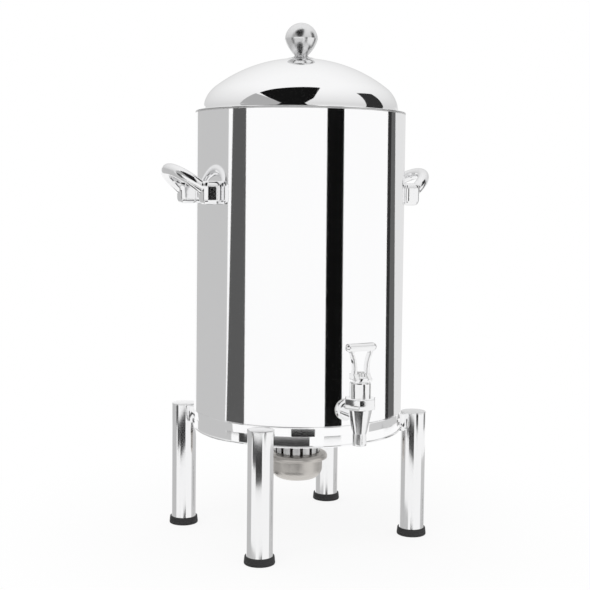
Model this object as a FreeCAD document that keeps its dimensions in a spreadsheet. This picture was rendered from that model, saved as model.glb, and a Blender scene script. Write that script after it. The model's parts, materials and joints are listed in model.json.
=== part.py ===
import FreeCAD, Part
import math
import os
import Sketcher
from FreeCAD import Vector, Placement, Rotation

# A table-top coffee urn on four tube legs, warmed by a fuel burner below.
# The origin is on the urn's axis at the height of the surface it stands on.
# +Z is up and the tap faces -Y. The handles face +X and -X.
# Every length is in millimetres and every angle in degrees.

doc = FreeCAD.newDocument("coffee_urn")
sheet = doc.addObject("Spreadsheet::Sheet", "Sizes")

# Driving sizes, each one written once.
SIZES = {
    # body, from the surface up
    "body_radius": 135.0,
    "band_bottom": 136.5,
    "band_height": 25.5,
    "rim_level": 543.0,
    "rim_width": 9.6,
    "jacket_wall": 1.0,
    "vessel_wall": 0.8,
    "air_gap": 6.0,
    "floor_rise": 19.5,
    "floor_corner": 10.0,
    "rim_flange": 1.4,
    "skirt_gap": 0.2,
    "band_wall": 1.2,
    "band_ledge": 13.0,
    "deck_wall": 1.2,
    "vent_width": 7.0,
    "vent_length": 26.0,
    "vent_reach": 84.0,
    "vent_count": 12,
    # legs
    "leg_radius": 15.9,
    "leg_wall": 1.2,
    "hole_slack": 0.3,
    "leg_gap": 0.5,
    "leg_spread": 49.5,
    "leg_turn": 8.0,
    "saddle_half": 12.0,
    "cap_wall": 1.5,
    "cap_dome": 0.8,
    "cap_plug": 2.4,
    "foot_height": 9.5,
    "foot_flare": 2.9,
    "foot_base": 4.0,
    "low_bolt_rise": 7.4,
    "bolt_pitch": 8.6,
    "leg_bolt_radius": 2.0,
    # lid
    "lid_gap": 0.3,
    "lid_wall": 1.0,
    "dome_rise": 70.0,
    "dome_haunch": 39.26,
    "ring_gap": 0.5,
    "ring_depth": 12.0,
    "ring_wall": 0.8,
    # knob
    "knob_radius": 21.0,
    "knob_height": 41.5,
    "knob_neck": 8.5,
    "flange_radius": 18.0,
    "flange_height": 4.0,
    "knob_screw_radius": 2.5,
    "knob_screw_depth": 16.0,
    "tip_flat": 0.2,
    # handles
    "handle_half_span": 40.6,
    "handle_out": 51.0,
    "handle_stand": 16.0,
    "handle_drop": 117.0,
    "handle_foot_height": 29.0,
    "handle_rise": 50.0,
    "handle_foot_half": 11.0,
    "handle_bar": 16.0,
    "handle_screw_radius": 2.5,
    # tap
    "nozzle_radius": 8.15,
    "tap_out": 39.0,
    "shank_rise": 26.5,
    "nozzle_drop": 36.0,
    "shoulder_gap": 0.5,
    "shoulder_step": 2.55,
    "seat_drop": 1.0,
    "nozzle_length": 16.0,
    "outlet_bore": 5.0,
    "chamber_bore": 9.5,
    "nut_height": 12.0,
    "bonnet_radius": 12.5,
    "bonnet_rise": 19.0,
    "thread_step": 0.3,
    "bonnet_roof": 4.0,
    "shank_radius": 8.0,
    "shank_inside": 20.0,
    "gasket_wall": 2.5,
    "gasket_step": 5.0,
    "locknut_step": 4.0,
    "locknut_wall": 6.0,
    "stem_radius": 2.5,
    "collar_rise": 1.0,
    "collar_step": 1.8,
    "stem_head": 4.5,
    "stem_head_wall": 2.2,
    "spring_radius": 5.6,
    "spring_wire": 1.0,
    "spring_turns": 5,
    "run_gap": 0.05,
    # tap lever
    "pin_radius": 1.5,
    "pin_rise": 4.0,
    "pin_forward": 6.0,
    "eye_radius": 3.4,
    "lever_half": 11.0,
    "lever_side": 5.4,
    "web_gap": 2.5,
    "web_height": 7.0,
    "stirrup_rise": 31.2,
    "web_back": 8.0,
    "lever_depth": 7.0,
    "lever_top_half": 14.5,
    "lever_arm": 4.0,
    "bar_radius": 4.85,
    "bar_half": 20.3,
    # burner
    "collar_wall": 0.8,
    "finger_drop": 39.5,
    "finger_slot_rise": 27.0,
    "cover_overlap": 6.0,
    "cover_height": 7.8,
    "cover_lip": 2.7,
    "cup_depth": 35.0,
    "cup_stand": 4.0,
    "cup_rim": 3.8,
    "finger_radius": 29.5,
    "finger_slot": 4.0,
    "finger_count": 14,
    "cover_gap": 0.45,
    "cup_corner": 14.0,
    "cup_wall": 0.8,
}

# Levels and radii that follow from the driving sizes, so that a piece stays on what
# carries it. The dome's crown and haunch are two arcs that meet without a corner,
# and the haunch leaves the rim straight up.
FOLLOWS = {
    "floor_level": "=band_bottom + floor_rise",
    "dome_radius": "=body_radius - rim_width",
    "handle_foot": "=body_radius + handle_stand",
    "handle_reach": "=body_radius + handle_out",
    "handle_low": "=rim_level - handle_drop",
    "handle_shoulder": "=handle_low + handle_foot_height",
    "handle_crest": "=handle_low + handle_rise",
    "shank_level": "=floor_level + shank_rise",
    "tap_reach": "=body_radius + tap_out",
    "nozzle_bottom": "=shank_level - nozzle_drop",
    "seat_level": "=shank_level - outlet_bore - seat_drop",
    "shoulder_level": "=shank_level + shank_radius + shoulder_gap",
    "thread_radius": "=bonnet_radius - thread_step",
    "shoulder_radius": "=thread_radius + shoulder_step",
    "nut_flats": "=2 * (shoulder_radius + shoulder_step)",
    "gasket_radius": "=shank_radius + gasket_step",
    "locknut_flats": "=2 * (shank_radius + locknut_step)",
    "bonnet_top": "=shoulder_level + nut_height + bonnet_rise",
    "collar_level": "=shoulder_level + nut_height + collar_rise",
    "collar_radius": "=spring_radius + collar_step",
    "pin_level": "=bonnet_top + pin_rise",
    "web_low": "=bonnet_top + web_gap",
    "web_high": "=web_low + web_height",
    "bar_level": "=web_high + stirrup_rise",
    "finger_bottom": "=band_bottom - finger_drop",
    "finger_slot_top": "=finger_bottom + finger_slot_rise",
    "cover_top": "=finger_bottom + cover_overlap",
    "cup_flange_level": "=cover_top - cover_height",
    "cup_bottom": "=cover_top - cup_depth",
    "cup_radius": "=finger_radius + cup_stand",
    "cup_flange": "=cup_radius + cup_rim",
    "cover_radius": "=cup_flange + cover_lip",
    "dome_foot": "=rim_level + lid_gap + lid_wall",
    "dome_height": "=dome_rise - lid_gap - lid_wall",
    "dome_crown": "=((dome_radius - dome_haunch) ^ 2 + dome_height ^ 2 - dome_haunch ^ 2)"
                  " / (2 * (dome_height - dome_haunch))",
    "crown_centre": "=rim_level + dome_rise - dome_crown",
    "haunch_share": "=1 / (dome_crown - dome_haunch)",
    "haunch_x": "=dome_crown * (dome_radius - dome_haunch) * haunch_share",
    "haunch_z": "=crown_centre + dome_crown * (dome_foot - crown_centre) * haunch_share",
    "haunch_inner_x": "=(dome_crown - lid_wall) * (dome_radius - dome_haunch) * haunch_share",
    "haunch_inner_z": "=crown_centre"
                      " + (dome_crown - lid_wall) * (dome_foot - crown_centre) * haunch_share",
}
NAMES = {**SIZES, **FOLLOWS}
for row, (alias, value) in enumerate(NAMES.items(), start=1):
    sheet.set("A%d" % row, alias)
    sheet.setAlias("B%d" % row, alias)
for row, (alias, value) in enumerate(NAMES.items(), start=1):
    sheet.set("B%d" % row, str(value))
doc.recompute()

PARTS = []


def size(name):
    """One plain number from the sheet."""
    return float(sheet.get(name))


def text(value):
    """A sheet name, a sum of them or a number as an expression."""
    words = []
    for word in str(value).replace("(", " ( ").replace(")", " ) ").split():
        words.append("Sizes." + word if word in NAMES else word)
    return " ".join(words)


def number(value):
    return float(sheet.evalExpression(text(value)))


def bind(thing, prop, value):
    thing.setExpression(prop, text(value))


def part_body(label):
    body = doc.addObject("PartDesign::Body", label)
    body.Label = label
    PARTS.append(body)
    return body


def sketch_on(body, role, name, offset=None):
    """A sketch on one of the body's own origin planes."""
    sketch = body.newObject("Sketcher::SketchObject", name)
    plane = [f for f in body.Origin.OriginFeatures if f.Role == role][0]
    sketch.AttachmentSupport = [(plane, "")]
    sketch.MapMode = "FlatFace"
    if offset is not None:
        bind(sketch, "AttachmentOffset.Base.z", offset)
    return sketch


def pin_point(sketch, geometry, end, x, y):
    """Tie one end of a line or arc to its two coordinates."""
    for kind, value in (("DistanceX", x), ("DistanceY", y)):
        at = number(value)
        if abs(at) < 1e-9:
            line = -2 if kind == "DistanceX" else -1
            sketch.addConstraint(Sketcher.Constraint("PointOnObject", geometry, end, line))
            continue
        tie = sketch.addConstraint(Sketcher.Constraint(kind, -1, 1, geometry, end, at))
        sketch.setExpression("Constraints[%d]" % tie, text(value))


def outline(sketch, steps):
    """A closed outline of (x, y) corners; ("arc", r, way) before a corner bends the step to it.

    way is 1 for an arc that turns left on its way and -1 for one that turns right.
    """
    corners = []
    bends = []
    bend = None
    for step in steps + [steps[0]]:
        if step[0] == "arc":
            bend = step
            continue
        corners.append(step)
        bends.append(bend)
        bend = None
    first = None
    last = None
    for index in range(len(corners) - 1):
        a = Vector(number(corners[index][0]), number(corners[index][1]), 0)
        b = Vector(number(corners[index + 1][0]), number(corners[index + 1][1]), 0)
        bend = bends[index + 1]
        if bend is None:
            piece = sketch.addGeometry(Part.LineSegment(a, b), False)
            start, end = 1, 2
        else:
            radius = number(bend[1])
            middle = (a + b) * 0.5
            chord = b - a
            rise = math.sqrt(max(radius ** 2 - (chord.Length / 2) ** 2, 0.0))
            left = Vector(-chord.y, chord.x, 0).normalize()
            centre = middle + left * rise * bend[2]
            from_angle = math.atan2(a.y - centre.y, a.x - centre.x)
            to_angle = math.atan2(b.y - centre.y, b.x - centre.x)
            circle = Part.Circle(centre, Vector(0, 0, 1), radius)
            if bend[2] > 0:
                piece = sketch.addGeometry(Part.ArcOfCircle(circle, from_angle, to_angle), False)
                start, end = 1, 2
            else:
                piece = sketch.addGeometry(Part.ArcOfCircle(circle, to_angle, from_angle), False)
                start, end = 2, 1
            tie = sketch.addConstraint(Sketcher.Constraint("Radius", piece, radius))
            sketch.setExpression("Constraints[%d]" % tie, text(bend[1]))
        pin_point(sketch, piece, start, *corners[index])
        if last is not None:
            sketch.addConstraint(Sketcher.Constraint("Coincident", last[0], last[1], piece, start))
        else:
            first = (piece, start)
        last = (piece, end)
    sketch.addConstraint(Sketcher.Constraint("Coincident", last[0], last[1], first[0], first[1]))


def ring(sketch, x, y, radius):
    """A circle at a place, all three sizes bound."""
    circle = Part.Circle(Vector(number(x), number(y), 0), Vector(0, 0, 1), number(radius))
    piece = sketch.addGeometry(circle, False)
    pin_point(sketch, piece, 3, x, y)
    tie = sketch.addConstraint(Sketcher.Constraint("Radius", piece, number(radius)))
    sketch.setExpression("Constraints[%d]" % tie, text(radius))


def turned(body, name, steps):
    """A solid of revolution about the body's own Z axis, from a half section."""
    sketch = sketch_on(body, "XZ_Plane", name + "_section")
    outline(sketch, steps)
    spin = body.newObject("PartDesign::Revolution", name)
    spin.Profile = sketch
    spin.ReferenceAxis = (sketch, ["V_Axis"])
    spin.Angle = 360
    sketch.Visibility = False
    return spin


def padded(body, name, sketch, length, both=False, back=False):
    pad = body.newObject("PartDesign::Pad", name)
    pad.Profile = sketch
    bind(pad, "Length", length)
    pad.Midplane = both
    pad.Reversed = back
    return pad


def pocketed(body, name, sketch, length, both=False, back=False):
    doc.recompute()
    before = body.Shape.Volume
    pocket = body.newObject("PartDesign::Pocket", name)
    pocket.Profile = sketch
    bind(pocket, "Length", length)
    pocket.Midplane = both
    pocket.Reversed = back
    doc.recompute()
    if body.Shape.Volume > before - 1e-3:
        raise RuntimeError(name + " cuts nothing")
    return pocket


def spun_copies(body, feature, name, count):
    pattern = body.newObject("PartDesign::PolarPattern", name)
    pattern.Originals = [feature]
    axis = [f for f in body.Origin.OriginFeatures if f.Role == "Z_Axis"][0]
    pattern.Axis = (axis, [""])
    pattern.Angle = 360
    bind(pattern, "Occurrences", count)
    body.Tip = pattern
    return pattern


def at(thing, x="0", y="0", z="0"):
    for axis, value in zip("xyz", (x, y, z)):
        if value != "0":
            bind(thing, "Placement.Base." + axis, value)


def rod(label, radius, start, end, azimuth, level, across="0"):
    """A round bar that points out from the urn's axis, from one reach to another."""
    bar = doc.addObject("Part::Cylinder", label)
    bind(bar, "Radius", radius)
    bind(bar, "Height", "(%s) - (%s)" % (end, start))
    turn = Rotation(Vector(0, 0, 1), azimuth).multiply(Rotation(Vector(0, 1, 0), 90))
    bar.Placement = Placement(Vector(0, 0, 0), turn)
    c = repr(math.cos(math.radians(azimuth)))
    s = repr(math.sin(math.radians(azimuth)))
    at(bar, "(%s) * (%s) - (%s) * (%s)" % (start, c, across, s),
       "(%s) * (%s) + (%s) * (%s)" % (start, s, across, c), level)
    return bar


def hexagon(label, flats, start, end, azimuth, level):
    """A hexagonal bar that points out from the urn's axis."""
    bar = doc.addObject("Part::Prism", label)
    bar.Polygon = 6
    bind(bar, "Circumradius", "(%s) * %r" % (flats, 1 / math.sqrt(3)))
    bind(bar, "Height", "(%s) - (%s)" % (end, start))
    turn = Rotation(Vector(0, 0, 1), azimuth).multiply(Rotation(Vector(0, 1, 0), 90))
    bar.Placement = Placement(Vector(0, 0, 0), turn)
    c = repr(math.cos(math.radians(azimuth)))
    s = repr(math.sin(math.radians(azimuth)))
    at(bar, "(%s) * (%s)" % (start, c), "(%s) * (%s)" % (start, s), level)
    return bar


def joined(label, pieces):
    both = doc.addObject("Part::MultiFuse", label)
    both.Shapes = pieces
    return both


def cut(label, base, tools, keep=True):
    """Base less every tool, as a part of its own."""
    tool = tools[0] if len(tools) == 1 else joined(label + "_cutters", tools)
    left = doc.addObject("Part::Cut", label)
    left.Label = label
    left.Base = base
    left.Tool = tool
    if base in PARTS:
        PARTS.remove(base)
    if keep:
        PARTS.append(left)
    return left


def grouped(label, pieces):
    """Separate solids of one kind under one name."""
    group = doc.addObject("Part::Compound", label)
    group.Label = label
    group.Links = pieces
    PARTS.append(group)
    return group


LEG_AZIMUTHS = {
    "front_left": -90 + size("leg_turn") - size("leg_spread"),
    "front_right": -90 + size("leg_turn") + size("leg_spread"),
    "back_right": 90 + size("leg_turn") - size("leg_spread"),
    "back_left": 90 + size("leg_turn") + size("leg_spread"),
}
HANDLE_AZIMUTHS = {"right": 0, "left": 180}
HANDLE_TURN = math.degrees(math.asin(size("handle_half_span") / size("body_radius")))
TAP_AZIMUTH = -90

BAND_TOP = "band_bottom + band_height"
BAND_INNER = "body_radius - band_wall"
SKIRT_OUTER = "body_radius - band_wall - skirt_gap"
SKIRT_INNER = "body_radius - band_wall - skirt_gap - jacket_wall"
JACKET_INNER = "body_radius - jacket_wall"
VESSEL_OUTER = "body_radius - jacket_wall - air_gap"
VESSEL_INNER = "body_radius - jacket_wall - air_gap - vessel_wall"
DECK_LOW = "band_bottom + band_wall"
DECK_TOP = "band_bottom + band_wall + deck_wall"
LEG_AXIS = "body_radius + leg_gap + leg_radius"
LOW_BOLT = "band_bottom + low_bolt_rise"
BOLT_LEVELS = [LOW_BOLT, LOW_BOLT + " + bolt_pitch"]
HANDLE_SCREW_LEVEL = "(handle_low + handle_shoulder) / 2"


# Outer jacket: the polished cylinder, with a skirt that slips inside the base band.
def make_jacket():
    body = part_body("jacket_shell")
    turned(body, "jacket_wall_turn", [
        (JACKET_INNER, BAND_TOP + " + 2 * jacket_wall"),
        (SKIRT_INNER, BAND_TOP),
        (SKIRT_INNER, DECK_TOP),
        (SKIRT_OUTER, DECK_TOP),
        (SKIRT_OUTER, BAND_TOP),
        ("body_radius", BAND_TOP),
        ("body_radius", "rim_level - rim_flange"),
        (JACKET_INNER, "rim_level - rim_flange"),
    ])
    cutters = [rod("jacket_tap_hole", "shank_radius + hole_slack", VESSEL_OUTER,
                   "body_radius + 5", TAP_AZIMUTH, "shank_level")]
    for side, azimuth in HANDLE_AZIMUTHS.items():
        for turn in (-HANDLE_TURN, HANDLE_TURN):
            cutters.append(rod("jacket_screw_hole", "handle_screw_radius + hole_slack",
                               VESSEL_OUTER, "body_radius + 5", azimuth + turn,
                               HANDLE_SCREW_LEVEL))
    for azimuth in LEG_AZIMUTHS.values():
        for level in BOLT_LEVELS:
            cutters.append(rod("jacket_bolt_hole", "leg_bolt_radius + hole_slack",
                               VESSEL_OUTER, BAND_INNER, azimuth, level))
    cut("outer_jacket", body, cutters)


# Inner vessel: holds the coffee and hangs by its flange on the jacket's top edge.
def make_vessel():
    body = part_body("vessel_shell")
    turned(body, "vessel_turn", [
        ("0", "floor_level"),
        (VESSEL_OUTER + " - floor_corner", "floor_level"),
        ("arc", "floor_corner", 1),
        (VESSEL_OUTER, "floor_level + floor_corner"),
        (VESSEL_OUTER, "rim_level - rim_flange"),
        ("body_radius", "rim_level - rim_flange"),
        ("body_radius", "rim_level"),
        (VESSEL_INNER, "rim_level"),
        (VESSEL_INNER, "floor_level + floor_corner"),
        ("arc", "floor_corner - vessel_wall", -1),
        (VESSEL_OUTER + " - floor_corner", "floor_level + vessel_wall"),
        ("0", "floor_level + vessel_wall"),
    ])
    cut("inner_vessel", body, [rod("vessel_tap_hole", "shank_radius + hole_slack",
                                   VESSEL_INNER + " - 5", VESSEL_OUTER + " + 2",
                                   TAP_AZIMUTH, "shank_level")])


# Base band: the polished ring that the jacket stands in and the legs bolt to.
def make_band():
    body = part_body("band_ring")
    turned(body, "band_turn", [
        ("body_radius - band_ledge", "band_bottom"),
        ("body_radius - 1", "band_bottom"),
        ("arc", "1", 1),
        ("body_radius", "band_bottom + 1"),
        ("body_radius", BAND_TOP),
        (BAND_INNER, BAND_TOP),
        (BAND_INNER, DECK_LOW),
        ("body_radius - band_ledge", DECK_LOW),
    ])
    cutters = []
    for azimuth in LEG_AZIMUTHS.values():
        for level in BOLT_LEVELS:
            cutters.append(rod("band_bolt_hole", "leg_bolt_radius + hole_slack",
                               SKIRT_OUTER, "body_radius + 3", azimuth, level))
    cut("base_band", body, cutters)


# Burner deck: the plate that closes the underside, with air vents and a flame hole.
def make_deck():
    body = part_body("burner_deck")
    turned(body, "deck_turn", [
        ("finger_radius - collar_wall", DECK_LOW),
        (SKIRT_OUTER, DECK_LOW),
        (SKIRT_OUTER, DECK_TOP),
        ("finger_radius - collar_wall", DECK_TOP),
    ])
    sketch = sketch_on(body, "XY_Plane", "vent_outline", DECK_LOW)
    far = "vent_reach + vent_length / 2 - vent_width / 2"
    near = "vent_reach - vent_length / 2 + vent_width / 2"
    outline(sketch, [
        (near, "-1 * vent_width / 2"),
        (far, "-1 * vent_width / 2"),
        ("arc", "vent_width / 2", 1),
        ("vent_reach + vent_length / 2", "0"),
        ("arc", "vent_width / 2", 1),
        (far, "vent_width / 2"),
        (near, "vent_width / 2"),
        ("arc", "vent_width / 2", 1),
        ("vent_reach - vent_length / 2", "0"),
        ("arc", "vent_width / 2", 1),
    ])
    vent = pocketed(body, "vent", sketch, "deck_wall", back=True)
    spun_copies(body, vent, "vents", "vent_count")


# Burner collar: a ring of spring fingers that hangs below the deck and grips the fuel cup.
def make_collar():
    body = part_body("burner_collar")
    inner = "finger_radius - collar_wall"
    turned(body, "collar_turn", [
        (inner, "finger_bottom"),
        ("finger_radius", "finger_bottom"),
        ("finger_radius", DECK_LOW + " - collar_wall"),
        ("finger_radius + 9", DECK_LOW + " - collar_wall"),
        ("finger_radius + 9", DECK_LOW),
        (inner, DECK_LOW),
    ])
    sketch = sketch_on(body, "YZ_Plane", "slot_outline", inner + " - 3")
    top = "finger_slot_top - finger_slot / 2"
    outline(sketch, [
        ("-1 * finger_slot / 2", "finger_bottom - 1"),
        ("finger_slot / 2", "finger_bottom - 1"),
        ("finger_slot / 2", top),
        ("arc", "finger_slot / 2", 1),
        ("0", "finger_slot_top"),
        ("arc", "finger_slot / 2", 1),
        ("-1 * finger_slot / 2", top),
    ])
    slot = pocketed(body, "slot", sketch, "collar_wall + 8", back=True)
    spun_copies(body, slot, "slots", "finger_count")


# Fuel cup with its cover ring, which drop away together for a new can.
def make_burner():
    cup = part_body("fuel_cup")
    turned(cup, "cup_turn", [
        ("0", "cup_bottom"),
        ("cup_radius - cup_corner", "cup_bottom"),
        ("arc", "cup_corner", 1),
        ("cup_radius", "cup_bottom + cup_corner"),
        ("cup_radius", "cup_flange_level"),
        ("cup_flange", "cup_flange_level"),
        ("cup_flange", "cup_flange_level + cup_wall"),
        ("cup_radius - cup_wall", "cup_flange_level + cup_wall"),
        ("cup_radius - cup_wall", "cup_bottom + cup_corner"),
        ("arc", "cup_corner - cup_wall", -1),
        ("cup_radius - cup_corner", "cup_bottom + cup_wall"),
        ("0", "cup_bottom + cup_wall"),
    ])
    cover = part_body("cup_cover")
    hole = "finger_radius + cover_gap"
    turned(cover, "cover_turn", [
        (hole, "cover_top - 1"),
        ("cover_radius - 5", "cover_top - 2"),
        ("arc", "4", -1),
        ("cover_radius - 1", "cover_top - 6"),
        ("cover_radius - 1", "cup_flange_level + cup_wall + 0.2"),
        ("cup_flange", "cup_flange_level + cup_wall"),
        ("cup_flange", "cup_flange_level"),
        ("cup_radius + 0.3", "cup_flange_level"),
        ("cup_radius + 0.3", "cup_flange_level - 1"),
        ("cover_radius - 3", "cup_flange_level - 1.6"),
        ("arc", "3", 1),
        ("cover_radius", "cup_flange_level + 1.4"),
        ("cover_radius", "cover_top - 6"),
        ("arc", "5", 1),
        ("cover_radius - 5", "cover_top - 1"),
        (hole, "cover_top"),
    ])


# Legs: four tubes with domed caps above and rubber feet below.
def make_leg(name, azimuth):
    turn = Rotation(Vector(0, 0, 1), azimuth)
    c = repr(math.cos(math.radians(azimuth)))
    s = repr(math.sin(math.radians(azimuth)))

    def place(thing):
        thing.Placement = Placement(Vector(0, 0, 0), turn)
        at(thing, "(%s) * (%s)" % (LEG_AXIS, c), "(%s) * (%s)" % (LEG_AXIS, s))

    tube_top = BAND_TOP + " - cap_wall - cap_dome"
    tube = part_body("tube_" + name)
    turned(tube, "tube_turn_" + name, [
        ("leg_radius - leg_wall", "foot_base"),
        ("leg_radius", "foot_base"),
        ("leg_radius", tube_top),
        ("leg_radius - leg_wall", tube_top),
    ])
    place(tube)
    cut("leg_" + name, tube, [
        rod("tube_bolt_hole_" + name, "leg_bolt_radius + hole_slack", "body_radius - 2",
            LEG_AXIS, azimuth, level) for level in BOLT_LEVELS])
    cap = part_body("leg_cap_" + name)
    turned(cap, "cap_turn_" + name, [
        ("0", tube_top + " - cap_plug"),
        ("leg_radius - leg_wall", tube_top + " - cap_plug"),
        ("leg_radius - leg_wall", tube_top),
        ("leg_radius + 0.2", tube_top),
        ("leg_radius + 0.2", tube_top + " + cap_wall"),
        ("arc", "((leg_radius + 0.2) ^ 2 + cap_dome ^ 2) / (2 * cap_dome)", 1),
        ("tip_flat", BAND_TOP),
        ("0", BAND_TOP),
    ])
    place(cap)
    foot = part_body("foot_" + name)
    sole = "leg_radius + foot_flare"
    turned(foot, "foot_turn_" + name, [
        ("0", "0"),
        (sole + " - 1.2", "0"),
        ("arc", "1.2", 1),
        (sole, "1.2"),
        (sole, "2.4"),
        ("leg_radius + 1.9", "foot_height"),
        ("leg_radius", "foot_height"),
        ("leg_radius", "foot_base"),
        ("0", "foot_base"),
    ])
    place(foot)


# Saddles: blocks hollowed on both sides that seat each round leg on the round band.
def make_saddle(name, azimuth):
    block = doc.addObject("Part::Box", "saddle_block_" + name)
    bind(block, "Length", "leg_gap + leg_radius + 2")
    bind(block, "Width", "2 * saddle_half")
    bind(block, "Height", "band_height - cap_wall - cap_dome - 1")
    block.Placement = Placement(Vector(0, 0, 0), Rotation(Vector(0, 0, 1), azimuth))
    c = repr(math.cos(math.radians(azimuth)))
    s = repr(math.sin(math.radians(azimuth)))
    start = "body_radius - 2"
    at(block, "(%s) * (%s) + saddle_half * (%s)" % (start, c, s),
       "(%s) * (%s) - saddle_half * (%s)" % (start, s, c), "band_bottom + 0.5")
    inside = doc.addObject("Part::Cylinder", "saddle_band_" + name)
    bind(inside, "Radius", "body_radius")
    bind(inside, "Height", "band_height + 20")
    at(inside, z="band_bottom - 10")
    tube = doc.addObject("Part::Cylinder", "saddle_tube_" + name)
    bind(tube, "Radius", "leg_radius")
    bind(tube, "Height", "band_height + 20")
    at(tube, "(%s) * (%s)" % (LEG_AXIS, c), "(%s) * (%s)" % (LEG_AXIS, s), "band_bottom - 10")
    holes = [rod("saddle_hole_" + name, "leg_bolt_radius + hole_slack", "body_radius - 3",
                 LEG_AXIS, azimuth, level) for level in BOLT_LEVELS]
    cut("leg_saddle_" + name, block, [inside, tube] + holes)


# Leg bolts, from inside the jacket's skirt into nuts inside the tubes.
def make_leg_fasteners():
    bolts = []
    nuts = []
    nut_start = "body_radius + leg_gap + leg_wall + 0.7"
    for name, azimuth in LEG_AZIMUTHS.items():
        for level in BOLT_LEVELS:
            shank = rod("bolt_shank", "leg_bolt_radius", SKIRT_INNER + " - 1",
                        nut_start + " + 4.2", azimuth, level)
            head = rod("bolt_head", "leg_bolt_radius + 1.6", SKIRT_INNER + " - 2.8",
                       SKIRT_INNER + " - 0.1", azimuth, level)
            bolts.append(joined("leg_bolt", [shank, head]))
            nut = hexagon("nut_hex", "3.5 * leg_bolt_radius", nut_start, nut_start + " + 3.2",
                          azimuth, level)
            bore = rod("nut_bore", "leg_bolt_radius", nut_start + " - 1", nut_start + " + 5",
                       azimuth, level)
            nuts.append(cut("leg_nut", nut, [bore], keep=False))
    grouped("leg_bolts", bolts)
    grouped("leg_nuts", nuts)


# Lid: a spun dome with a flat rim, a locating ring under it and a knob on top.
def make_lid():
    base = "rim_level + lid_gap"
    crown = "rim_level + dome_rise"
    hole = "knob_screw_radius + hole_slack"
    dome = part_body("lid_dome")
    turned(dome, "dome_turn", [
        (hole, crown + " - lid_wall"),
        ("arc", "dome_crown - lid_wall", -1),
        ("haunch_inner_x", "haunch_inner_z"),
        ("arc", "dome_haunch - lid_wall", -1),
        ("dome_radius - lid_wall", "dome_foot"),
        ("dome_radius - lid_wall", base),
        ("body_radius - lid_wall / 2", base),
        ("arc", "lid_wall / 2", 1),
        ("body_radius", base + " + lid_wall / 2"),
        ("arc", "lid_wall / 2", 1),
        ("body_radius - lid_wall / 2", "dome_foot"),
        ("dome_radius", "dome_foot"),
        ("arc", "dome_haunch", 1),
        ("haunch_x", "haunch_z"),
        ("arc", "dome_crown", 1),
        (hole, crown),
    ])
    ring_out = VESSEL_INNER + " - ring_gap"
    guide = part_body("lid_ring")
    turned(guide, "ring_turn", [
        (ring_out + " - ring_wall", "rim_level - ring_depth"),
        (ring_out, "rim_level - ring_depth"),
        (ring_out, base),
        (ring_out + " - ring_wall", base),
    ])
    flange = part_body("knob_flange")
    low = crown + " - flange_radius ^ 2 / (2 * dome_crown) + 0.1"
    top = crown + " + flange_height"
    turned(flange, "flange_turn", [
        (hole, crown + " + 0.05"),
        ("flange_radius - 4", crown + " + 0.05"),
        ("flange_radius", low),
        ("flange_radius", low + " + 0.8"),
        ("arc", "14", -1),
        ("knob_neck + 0.5", top),
        (hole, top),
    ])
    knob = part_body("lid_knob")
    turned(knob, "knob_turn", [
        ("knob_screw_radius", top),
        ("knob_neck", top),
        ("arc", "2.1 * knob_radius", 1),
        ("knob_radius", top + " + knob_height - knob_radius"),
        ("arc", "knob_radius", 1),
        ("tip_flat", top + " + knob_height"),
        ("0", top + " + knob_height"),
        ("0", top + " + knob_screw_depth + 2"),
        ("knob_screw_radius", top + " + knob_screw_depth + 2"),
    ])
    screw = part_body("knob_screw")
    head = crown + " - lid_wall - 1.2"
    turned(screw, "knob_screw_turn", [
        ("0", head + " - 3"),
        ("2 * knob_screw_radius - 1", head + " - 3"),
        ("arc", "1", 1),
        ("2 * knob_screw_radius", head + " - 2"),
        ("2 * knob_screw_radius", head),
        ("knob_screw_radius", head),
        ("knob_screw_radius", top + " + knob_screw_depth"),
        ("0", top + " + knob_screw_depth"),
    ])
    washer = part_body("knob_washer")
    turned(washer, "knob_washer_turn", [
        (hole, head),
        ("2 * knob_screw_radius + 2.5", head),
        ("2 * knob_screw_radius + 2.5", head + " + 1"),
        (hole, head + " + 1"),
    ])


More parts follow.
